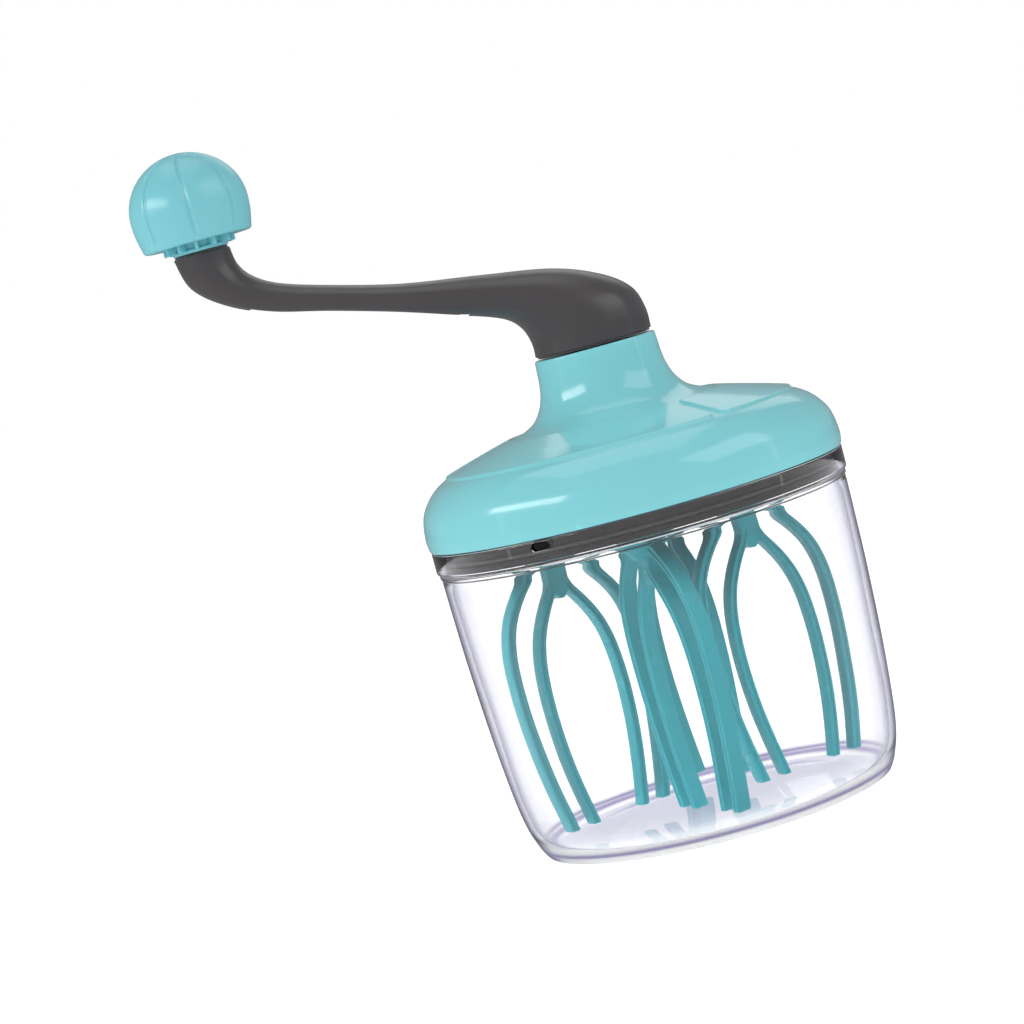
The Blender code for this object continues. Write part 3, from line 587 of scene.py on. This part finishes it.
def make_lid():
    """The teal cover: its neck, its panelled slope and its edge, and back along the inside."""
    neck_top = rounded_corners([(NECK_BORE_R, NECK_TOP_Z, 0.0), (20.2, NECK_TOP_Z, 0.7),
                                (20.5, 152.0, 0.0)], 5)
    neck = smooth_line([(20.5, 151.6), (21.1, 147.0), (22.6, 142.4), (25.6, 138.2), (29.6, 135.9),
                        (33.6, 134.6)], 5)
    slope = smooth_line([(34.4, 134.35), (41.0, 132.7), (48.0, 130.8), (54.0, 129.1), (59.4, 127.3),
                         (63.5, 124.7), (66.6, 121.4), (68.6, 118.0), (69.6, 114.0), (LID_R, 110.0)], 4)
    edge = rounded_corners([(69.95, 109.0, 0.0), (69.6, LID_EDGE_Z, 0.5), (67.0, LID_EDGE_Z, 0.4),
                            (67.4, 110.0, 0.0)], 4)
    inside = smooth_line([(67.1, 114.0), (65.6, 118.4), (62.4, 122.2), (57.8, 125.0), (46.8, 128.4),
                          (34.0, 131.8), (25.2, 135.0), (20.4, 142.0), (18.3, 149.0), (17.8, 154.2)], 2)
    near_panels = [p for p in slope if p.x < PANEL_OUTER_R + PANEL_MARGIN]
    rest = [p for p in slope if p.x >= PANEL_OUTER_R + PANEL_MARGIN]
    profile = [*neck_top, *neck, *dense(near_panels, PANEL_ROW_GAP), *rest, *edge, *inside,
               Vector((NECK_BORE_R, 154.4))]
    lid = revolve("teal_lid", profile, lid_angles(), relief=panel_relief, sharp=50.0)
    finished(lid, "lid", LID_PLASTIC, "lid_cover")


PLATE_TOP_Z = 102.9
PLATE_BOTTOM_Z = 99.9
SEAL_TOP_Z = 103.0        # the seal's groove in the skirt
SEAL_BOTTOM_Z = 101.0
BUSH_HOLE_R = 5.25
SCREW_HOLE_R = 1.6


def make_gear_plate():
    """The grey plate and skirt under the lid, with its holes, and the seal in the skirt's groove."""
    skirt_in = SKIRT_R - 2.4
    groove_r = SKIRT_R - 1.0
    profile = [Vector((0.0, PLATE_TOP_Z)), Vector((40.0, PLATE_TOP_Z))]
    profile += rounded_corners([(skirt_in - 3.0, PLATE_TOP_Z, 0.0), (skirt_in, PLATE_TOP_Z, 0.8),
                                (skirt_in, RIM_Z, 0.3), (SKIRT_R, RIM_Z, 0.4), (SKIRT_R, SEAL_TOP_Z, 0.2),
                                (groove_r, SEAL_TOP_Z, 0.2), (groove_r, SEAL_BOTTOM_Z, 0.2),
                                (SKIRT_R, SEAL_BOTTOM_Z, 0.2), (SKIRT_R, SKIRT_BOTTOM_Z, 0.6),
                                (skirt_in, SKIRT_BOTTOM_Z, 0.3), (skirt_in - 0.4, PLATE_BOTTOM_Z, 0.3),
                                (50.0, PLATE_BOTTOM_Z, 0.0)], 3)
    profile += [Vector((30.0, PLATE_BOTTOM_Z)), Vector((0.0, PLATE_BOTTOM_Z))]
    plate = revolve("grey_gear_plate", profile, even_angles(160))
    holes = [(f"bush_{side}", BUSH_HOLE_R, 48) for side in WHISK_TURN]
    holes += [(f"lid_screw_{number}", SCREW_HOLE_R, 24) for number in range(1, 5)]
    for node, radius, steps in holes:
        centre = middle_mm(node)
        hole = rod(f"hole_{node}", radius, 110.0, 95.0, (centre.x, centre.y), steps)
        apply_boolean(plate, hole, "DIFFERENCE")
    finished(plate, "lid", BAND_PLASTIC, "gear_plate")
    seal_in = SKIRT_R - 0.7
    seal_out = SKIRT_R + 0.1
    ring = rounded_corners([(seal_in, 102.6, 0.0), (seal_out, 102.3, 0.4), (seal_out, 101.7, 0.4),
                            (seal_in, 101.4, 0.0)], 4)
    finished(revolve("soft_rim_seal", ring, even_angles(160)), "lid", SEAL_RUBBER, "rim_seal")


def make_lid_screws():
    """Pan heads with a cross recess, seen through the clear bowl from below."""
    for number in range(1, 5):
        node = f"lid_screw_{number}"
        low, high, centre = low_mm(node), high_mm(node), middle_mm(node)
        head_r = (high.x - low.x) / 2
        profile = rounded_corners([(0.0, high.z, 0.0), (1.2, high.z - 1.0, 0.2), (1.2, 99.6, 0.0),
                                   (head_r, 99.6, 0.2), (head_r, 98.8, 0.9), (head_r - 0.9, low.z, 0.5),
                                   (0.0, low.z, 0.0)], 4)
        screw = revolve(f"steel_lid_screw_{number}", profile, even_angles(40), (centre.x, centre.y))
        for turn in (0.0, 90.0):
            place = (Matrix.Translation((centre.x, centre.y, low.z))
                     @ Matrix.Rotation(math.radians(turn + 20.0 * number), 4, "Z"))
            apply_boolean(screw, box_tool("recess", (3.0, 0.6, 2.0), place), "DIFFERENCE")
        finished(screw, "lid", STEEL, node)


# ---------------------------------------------------------------- whisks

TINE_T = 5.0              # through the blade
TINE_GROOVE = 0.5
TINE_END = 0.3            # how much a tine's end is drawn in
STEM_T = 4.4
SPINDLE_BORE_R = 3.25
OUTER_TINE_W = 3.2        # across the tine, in the blade's plane
OUTER_TINE = ((5.4, 93.2), (11.5, 89.5), (17.0, 83.5), (21.5, 76.0), (24.0, 67.0), (24.7, 56.0),
              (24.3, 44.0), (23.0, 32.0), (21.0, 19.5), (18.3, TINE_TIP_Z))
INNER_TINE_W = 2.6
INNER_TINE = ((2.2, 87.0), (3.6, 83.5), (6.4, 79.3), (9.8, 73.5), (12.3, 67.5), (14.0, 60.0),
              (14.8, 50.0), (14.7, 40.0), (13.9, 30.0), (12.3, 19.5), (9.8, TINE_TIP_Z))


def tine_section(width, shrink=0.0):
    """Round-cornered bar with a groove down both narrow faces, as (across, through)."""
    half_w, half_t = width / 2 - shrink, TINE_T / 2 - shrink
    side = rounded_corners([(0.0, half_t - TINE_GROOVE, 0.0), (0.35, half_t - TINE_GROOVE, 0.2),
                            (0.65, half_t, 0.2), (half_w, half_t, 0.55), (half_w, 0.0, 0.0),
                            (half_w, -half_t, 0.55), (0.65, -half_t, 0.2), (0.35, TINE_GROOVE - half_t, 0.2),
                            (0.0, TINE_GROOVE - half_t, 0.0)], 3)
    other = [Vector((-p.x, -p.y)) for p in side[1:-1]]
    return [side[0], *side[1:-1], side[-1], *other]


def tine(name, points, width, side, place):
    """One tine along its curve, on the given side of the spindle (-1 or 1), ending flat at its tip."""
    line = smooth_line([(side * x, z) for x, z in points], 6)
    rings = []
    for index, point in enumerate(line):
        along = (line[min(index + 1, len(line) - 1)] - line[max(index - 1, 0)]).normalized()
        if index > len(line) - 3:
            along = Vector((0.0, -1.0))
        across = Vector((-along.y, along.x))
        last = index == len(line) - 1
        for lift, shrink in (((0.35, 0.0), (0.0, TINE_END)) if last else ((0.0, 0.0),)):
            rings.append([place @ Vector((point.x + across.x * u, v, point.y + lift + across.y * u))
                          for u, v in tine_section(width, shrink)])
    return loft(name, rings)


def whisk_stem(place):
    """The flat stem under the flange, ending in a blunt point where the inner tines part."""
    half = rounded_corners([(0.0, 92.0, 0.0), (3.9, 92.0, 0.0), (3.9, 84.2, 0.8), (0.9, 80.6, 0.5),
                            (0.0, 80.6, 0.0)], 3)
    outline = [*half, *[Vector((-p.x, p.y)) for p in reversed(half[1:-1])]]
    rings = []
    for depth, shrink in ((-1.0, 0.35), (-0.84, 0.0), (0.84, 0.0), (1.0, 0.35)):
        across = [p.x - math.copysign(min(shrink, abs(p.x)), p.x) for p in outline]
        rings.append([place @ Vector((x, STEM_T / 2 * depth, p.y)) for x, p in zip(across, outline)])
    return loft("stem", rings)


def make_whisk(side):
    """A flanged hub, the stem and four tines in one piece, bored for the spindle."""
    node = f"whisk_{side}"
    spindle = middle_mm(f"pinion_{side}")
    turn = Matrix.Rotation(math.radians(WHISK_TURN[side]), 4, "Z")
    place = Matrix.Translation((spindle.x, spindle.y, 0.0)) @ turn
    hub_profile = rounded_corners([(0.0, WHISK_TOP_Z, 0.0), (8.4, WHISK_TOP_Z, 0.8), (8.4, 92.6, 0.7),
                                   (4.8, 90.4, 0.5), (4.2, 89.6, 0.3), (0.0, 89.6, 0.0)], 4)
    hub = revolve(f"teal_whisk_{side}", hub_profile, even_angles(72), (spindle.x, spindle.y), sharp=40.0)
    apply_boolean(hub, whisk_stem(place), "UNION")
    for label, points, width in (("outer", OUTER_TINE, OUTER_TINE_W), ("inner", INNER_TINE, INNER_TINE_W)):
        for hand in (-1, 1):
            apply_boolean(hub, tine(f"tine_{label}", points, width, hand, place), "UNION")
    low = low_mm(f"pinion_{side}").z - 0.3
    bore = rod("spindle_bore", SPINDLE_BORE_R, 105.0, low, (spindle.x, spindle.y), 40)
    apply_boolean(hub, bore, "DIFFERENCE")
    finished(hub, node, WHISK_PLASTIC, node)


# ---------------------------------------------------------------- crank

HUB_R = 19.5
POST_R = 9.35
# underside point, top point, half width, how square the underside is
CRANK_STATIONS = (
    ((-HUB_R, HUB_BOTTOM_Z), (HUB_R, HUB_BOTTOM_Z), HUB_R, 2.0),
    ((-19.5, 163.5), (19.4, 165.5), 19.4, 2.0),
    ((-21.2, 168.8), (16.6, 173.0), 18.6, 2.2),
    ((-25.0, 172.8), (8.0, 179.6), 16.9, 2.5),
    ((-32.0, 175.9), (-7.0, 185.4), 14.6, 2.9),
    ((-43.4, 179.4), (-30.0, 189.4), 12.2, 3.2),
    ((-60.0, 184.9), (-55.0, 193.4), 10.6, 3.2),
    ((-80.0, 190.7), (-76.5, 198.8), 9.8, 3.2),
    ((-98.0, 195.3), (-92.5, 203.7), 9.4, 3.0),
    ((-111.7, 201.2), (-100.7, 208.2), 9.35, 2.5),
    ((-121.6, 209.5), (-104.9, 213.6), POST_R, 2.1),
    ((POST_X - POST_R, POST_TOP_Z), (POST_X + POST_R, POST_TOP_Z), POST_R, 2.0),
)
CRANK_STEPS = 8           # rings from one station to the next
CRANK_SIDES = 64
COVER_FROM = 4.5          # in stations, where the hollow and its cover start
COVER_TO = 8.5
COVER_WIDTH = 0.62        # share of the arm's width
SHAFT_HOLE_R = 5.25
PIN_HOLE_R = 3.25
# inner and outer radius, bottom, top and centre of the rings that close the two running gaps
SPIGOTS = (
    (14.4, 18.8, HUB_BOTTOM_Z - 0.5, HUB_BOTTOM_Z + 2.0, 0.0),
    (5.8, 8.8, POST_TOP_Z - 2.0, CORE_BOTTOM_Z - 0.15, POST_X),
)


def crank_rings():
    """Underside point, top point, half width and squareness for each ring along the arm."""
    under = smooth_line([s[0] for s in CRANK_STATIONS], CRANK_STEPS)
    top = smooth_line([s[1] for s in CRANK_STATIONS], CRANK_STEPS)
    rest = smooth_line([(s[2], s[3]) for s in CRANK_STATIONS], CRANK_STEPS)
    return [(u, t, r.x, r.y) for u, t, r in zip(under, top, rest)]


def rounded(value, power):
    """A sine or cosine bent towards a square corner: 2 leaves it round."""
    return math.copysign(abs(value) ** (2.0 / power), value)


def arm_section(under, top, half_width, square, shrink=0.0):
    """One ring round the arm: round above and squarer below."""
    middle = (under + top) / 2
    reach = (top - under) / 2
    reach = reach * (1 - shrink / reach.length)
    points = []
    for index in range(CRANK_SIDES):
        angle = 2 * math.pi * index / CRANK_SIDES
        up = math.cos(angle)
        side = math.sin(angle)
        power = 2.0 if up >= 0.0 else square
        spot = middle + reach * rounded(up, power)
        points.append(Vector((spot.x, (half_width - shrink) * rounded(side, power), spot.y)))
    return points


def slab_section(under, top, half_width, low, high):
    """A flat rectangle between two heights over the arm's underside."""
    up = (top - under).normalized()
    bottom = under + up * low
    roof = under + up * high
    return [Vector((bottom.x, -half_width, bottom.y)), Vector((bottom.x, half_width, bottom.y)),
            Vector((roof.x, half_width, roof.y)), Vector((roof.x, -half_width, roof.y))]


def softened_ends(rings, round_by=0.6):
    """The arm's sections, with a small rounding drawn in at the first and last one."""
    lift = Vector((0.0, round_by))
    slight = Vector((0.0, 0.0, round_by * 0.3))
    ends = []
    for ring, way in ((rings[0], 1.0), (rings[-1], -1.0)):
        under, top, half, square = ring
        ends.append([arm_section(*ring, shrink=round_by),
                     [p + slight * way for p in arm_section(*ring, shrink=round_by * 0.3)],
                     arm_section(under + lift * way, top + lift * way, half, square)])
    start, finish = ends
    return [*start, *[arm_section(*ring) for ring in rings[1:-1]], *reversed(finish)]


def make_crank():
    """The arm with its hollow, spigots and holes, and the cover in the hollow."""
    rings = crank_rings()
    arm = loft("grey_crank_arm", softened_ends(rings), sharp=40.0)
    first = round(COVER_FROM * CRANK_STEPS)
    last = round(COVER_TO * CRANK_STEPS)
    covered = rings[first:last + 1:2]
    pocket = loft("pocket", [slab_section(u, t, w * COVER_WIDTH, -3.0, 3.4) for u, t, w, _ in covered])
    apply_boolean(arm, pocket, "DIFFERENCE")
    for inner, outer, low, high, centre_x in SPIGOTS:
        spigot = [Vector((inner, low)), Vector((outer, low)), Vector((outer, high)), Vector((inner, high))]
        apply_boolean(arm, revolve("spigot", spigot, even_angles(96), (centre_x, 0.0)), "UNION")
    shaft_x = middle_mm("drive_shaft").x
    for centre_x, radius, low, high in ((shaft_x, SHAFT_HOLE_R, 150.0, 176.2),
                                        (POST_X, PIN_HOLE_R, 209.6, 230.0)):
        apply_boolean(arm, rod("bore", radius, high, low, (centre_x, 0.0), 48), "DIFFERENCE")
    finished(arm, "crank", GREY_PLASTIC, "crank_arm")
    cover_rings = [slab_section(u, t, w * COVER_WIDTH - 0.3, 0.5, 2.7) for u, t, w, _ in covered[1:-1]]
    cover = loft("grey_crank_cover", cover_rings)
    bevel(cover, 0.35)
    settle(cover)
    finished(cover, "crank", GREY_PLASTIC, "crank_cover")


# ---------------------------------------------------------------- knob

KNOB_WIDE_Z = 234.5
DOME_STEPS = 26
HOLLOW_R = 17.2
HOLLOW_H = 16.2
HOLLOW_STEPS = 10
HALF_WALL = 1.2           # half the dome's wall, which parts its outer skin from its hollow
SIDE_SPLIT_R = 17.6       # the same below the dome
KNOB_FLUTES = 8
FLUTE_ANGLE = math.radians(-86.0)
FLUTE_HALF_W = 0.62
FLUTE_DEPTH = 0.5


def flute_relief(angle, radius, z):
    """Eight shallow grooves down the dome, fading out at the crown and at the bottom edge."""
    pitch = 2 * math.pi / KNOB_FLUTES
    away = abs((angle - FLUTE_ANGLE + pitch / 2) % pitch - pitch / 2) * radius
    if away > FLUTE_HALF_W * 2 or z < KNOB_BOTTOM_Z + 1.0:
        return 0.0
    crown = min(max((radius - 4.0) / 4.0, 0.0), 1.0)
    foot = min(max((z - KNOB_BOTTOM_Z - 1.5) / 2.0, 0.0), 1.0)
    return -FLUTE_DEPTH * math.exp(-(away / FLUTE_HALF_W) ** 2) * crown * foot


def knob_angles():
    """The knob's steps round the axis, closer together at the flutes."""
    pitch = 2 * math.pi / KNOB_FLUTES
    angles = []
    for flute in range(KNOB_FLUTES):
        start = FLUTE_ANGLE + pitch * flute
        offsets = [math.radians(0.45) * step for step in range(-10, 11)]
        offsets += [math.radians(5.5) + (pitch - math.radians(11.0)) * step / 12 for step in range(13)]
        angles.extend((start + offset) % (2 * math.pi) for offset in offsets)
    return sorted(angles)


def quarter(steps):
    """Angles from nothing to a quarter turn."""
    return [math.pi / 2 * step / steps for step in range(steps + 1)]


def make_knob():
    """The fluted dome with its hollow underside."""
    height = KNOB_TOP_Z - KNOB_WIDE_Z
    dome = [Vector((KNOB_R * math.sin(a), KNOB_WIDE_Z + height * math.cos(a))) for a in quarter(DOME_STEPS)]
    side = smooth_line([(KNOB_R, KNOB_WIDE_Z - 0.4), (KNOB_R - 0.25, 230.5), (KNOB_R - 0.9, 227.0),
                        (18.35, 225.6)], 4)
    foot = rounded_corners([(18.3, 225.4, 0.0), (17.9, KNOB_BOTTOM_Z, 1.3), (12.7, KNOB_BOTTOM_Z, 0.4),
                            (12.7, 226.2, 0.3), (15.8, 226.2, 1.0), (17.0, 230.0, 0.0)], 4)
    hollow = [Vector((HOLLOW_R * math.cos(a), KNOB_WIDE_Z + HOLLOW_H * math.sin(a)))
              for a in quarter(HOLLOW_STEPS)]
    hollow[-1].x = 0.0
    shell = revolve("teal_knob_dome", [*dome, *side, *foot, *hollow], knob_angles(), (POST_X, 0.0),
                    outer_flute_relief, sharp=50.0)
    finished(shell, "knob", KNOB_PLASTIC, "knob_shell")


def outer_flute_relief(angle, radius, z):
    """The flutes, on the outer skin only."""
    return flute_relief(angle, radius, z) if is_outside(radius, z) else 0.0


def is_outside(radius, z):
    """True on the dome's outer skin, false on the hollow's."""
    if z < KNOB_WIDE_Z:
        return radius > SIDE_SPLIT_R
    height = KNOB_TOP_Z - KNOB_WIDE_Z
    reach = (radius / (KNOB_R - HALF_WALL)) ** 2 + ((z - KNOB_WIDE_Z) / (height - HALF_WALL)) ** 2
    return reach > 1.0


def make_knob_core():
    """Ribbed ring and sleeve under the dome."""
    centre = (POST_X, 0.0)
    bore = 3.1
    top = high_mm("knob_core").z
    profile = rounded_corners([(bore, top, 0.0), (6.0, top, 0.4), (6.0, 227.0, 0.6), (12.3, 227.0, 0.3),
                               (12.3, 224.2, 0.3), (8.2, 224.0, 0.3), (8.2, 222.0, 0.3), (9.2, 221.8, 0.3),
                               (9.2, CORE_BOTTOM_Z, 0.4), (bore, CORE_BOTTOM_Z, 0.0)], 3)
    core = revolve("teal_knob_core", profile, even_angles(96), centre)
    ribs = 12
    for number in range(ribs):
        turn = Matrix.Rotation(2 * math.pi * number / ribs, 4, "Z")
        place = Matrix.Translation((POST_X, 0.0, 0.0)) @ turn @ Matrix.Translation((9.6, 0.0, 222.9))
        apply_boolean(core, box_tool("rib", (4.6, 1.1, 2.8), place), "UNION")
    finished(core, "knob", KNOB_PLASTIC, "knob_core")


# ---------------------------------------------------------------- carried-over nodes

def dress_nodes():
    """The inner CAD pieces keep their meshes and get real materials."""
    finishes = {
        BEARING_PLASTIC: ["neck_bush", "drive_gear"] + [f"{kind}_{side}" for kind in ("bush", "pinion")
                                                        for side in WHISK_TURN],
        STEEL: ["drive_shaft", "gear_washer", "gear_screw", "hub_washer", "knob_pin"]
               + [f"clip_{side}" for side in WHISK_TURN],
    }
    for material, nodes in finishes.items():
        for node in nodes:
            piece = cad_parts[node]
            piece.data.materials.clear()
            piece.data.materials.append(material)


# ---------------------------------------------------------------- stage, lights, camera

FLOOR_SIZE = 30.0          # half its side, in metres
FLOOR_TONES = ((0.57, 0.57, 0.57), (0.61, 0.61, 0.61))
FLOOR_GLOW = 0.72
FLOOR_GLOW_INSIDE = 0.6    # share of the glow that is mirrored inside the clear plastic
FLOOR_REFLECTED = (0.30, 0.30, 0.31)
FIRST_BOUNCE = 1.5         # a ray of a smaller depth has met one surface at most
WHITE = (1.0, 1.0, 1.0)
SKY_LIGHT = (0.58, 0.58, 0.58)
SKY_REFLECTED = (0.26, 0.27, 0.28)
# name, width, height, distance (metres), degrees round from the front, elevation, radiance
SOFTBOXES = (
    ("left_softbox", 1.10, 0.28, 1.3, -64.0, 27.0, 6.0),
    ("left_strip", 0.05, 1.10, 1.5, -78.0, 6.0, 1.6),
    ("right_strip", 0.05, 1.10, 1.5, 80.0, 6.0, 1.6),
    ("right_softbox", 1.20, 0.80, 1.5, 62.0, 34.0, 1.5),
    ("top_softbox", 1.20, 1.20, 1.5, 180.0, 80.0, 0.8),
    ("back_softbox", 1.00, 0.60, 1.7, 165.0, 30.0, 0.7),
)
LIT_MIDDLE = (-0.03, 0.0, 0.133)
CAMERA_PLACE = (-0.0402, -0.980, 0.190)
CAMERA_TARGET = (-0.0402, 0.0, 0.115)
CAMERA_LENS = 105.5
CAMERA_ROLL = -15.3


def soft_light(name, width, height, distance, degrees, elevation, radiance):
    """A rectangular softbox at an angle round the beater, aimed at its middle."""
    turn = math.radians(degrees)
    rise = math.radians(elevation)
    out = Vector((math.sin(turn) * math.cos(rise), -math.cos(turn) * math.cos(rise), math.sin(rise)))
    light = bpy.data.lights.new(name, "AREA")
    light.shape = "RECTANGLE"
    light.size = width
    light.size_y = height
    light.energy = radiance * math.pi * width * height
    made = bpy.data.objects.new(name, light)
    made.location = Vector(LIT_MIDDLE) + out * distance
    made.rotation_euler = out.to_track_quat("Z", "Y").to_euler()
    bpy.context.scene.collection.objects.link(made)


def make_floor():
    """A pale glowing floor that looks darker where a surface mirrors it, so that gloss keeps its contrast."""
    corner = FLOOR_SIZE / MM
    corners = ((-corner, -corner), (corner, -corner), (corner, corner), (-corner, corner))
    floor = mesh_object("pale_floor", [(x, y, -0.2) for x, y in corners], [(0, 1, 2, 3)])
    material, nodes, links, shader = tree_for("pale_studio_floor")
    cloud = noise(nodes, links, 1.5)
    pale = blend_colour(nodes, links, cloud.outputs["Fac"], *FLOOR_TONES)
    path = nodes.new("ShaderNodeLightPath")
    mirrored = calculate(nodes, links, "SUBTRACT", path.outputs["Is Glossy Ray"],
                         path.outputs["Is Transmission Ray"], clamp=True)
    first = calculate(nodes, links, "LESS_THAN", path.outputs["Ray Depth"], FIRST_BOUNCE)
    outside = calculate(nodes, links, "MULTIPLY", mirrored, first)
    links.new(tinted(nodes, links, outside, pale, FLOOR_REFLECTED), shader.inputs["Base Color"])
    shader.inputs["Roughness"].default_value = 0.7
    shader.inputs["Specular IOR Level"].default_value = 0.0
    shader.inputs["Emission Color"].default_value = (*WHITE, 1.0)
    inside_glow = spread(nodes, links, mirrored, FLOOR_GLOW, FLOOR_GLOW * FLOOR_GLOW_INSIDE, 0.0, 1.0)
    not_outside = spread(nodes, links, outside, 1.0, 0.0, 0.0, 1.0)
    glow = calculate(nodes, links, "MULTIPLY", inside_glow, not_outside)
    links.new(glow, shader.inputs["Emission Strength"])
    floor.data.materials.append(material)


def make_sky():
    """White to the camera and through the clear plastic, softer as a light and in a mirroring surface."""
    world = bpy.data.worlds.new("studio")
    bpy.context.scene.world = world
    world.use_nodes = True
    nodes = world.node_tree.nodes
    links = world.node_tree.links
    path = nodes.new("ShaderNodeLightPath")
    straight = calculate(nodes, links, "MAXIMUM", path.outputs["Is Camera Ray"],
                         path.outputs["Is Transmission Ray"])
    lit = blend_colour(nodes, links, path.outputs["Is Glossy Ray"], SKY_LIGHT, SKY_REFLECTED)
    links.new(tinted(nodes, links, straight, lit, WHITE), nodes["Background"].inputs["Color"])


def make_stage():
    """The floor, the sky and the lights."""
    make_floor()
    make_sky()
    for softbox in SOFTBOXES:
        soft_light(*softbox)


def make_camera():
    """A view of the front from a little above, rolled so that the beater leans left as it does when held."""
    camera = bpy.data.cameras.new("camera")
    camera.lens = CAMERA_LENS
    camera.sensor_width = 36.0
    camera.clip_start = 0.05
    camera.clip_end = 100.0
    made = bpy.data.objects.new("camera", camera)
    place = Vector(CAMERA_PLACE)
    look = (Vector(CAMERA_TARGET) - place).to_track_quat("-Z", "Y").to_matrix().to_4x4()
    roll = Matrix.Rotation(math.radians(CAMERA_ROLL), 4, "Z")
    made.matrix_world = Matrix.Translation(place) @ look @ roll
    bpy.context.scene.collection.objects.link(made)
    bpy.context.scene.camera = made
    bpy.context.scene.view_settings.view_transform = "Standard"


make_stage()
make_camera()
make_container()
make_lid()
make_gear_plate()
make_lid_screws()
for whisk_side in WHISK_TURN:
    make_whisk(whisk_side)
make_crank()
make_knob()
make_knob_core()
dress_nodes()
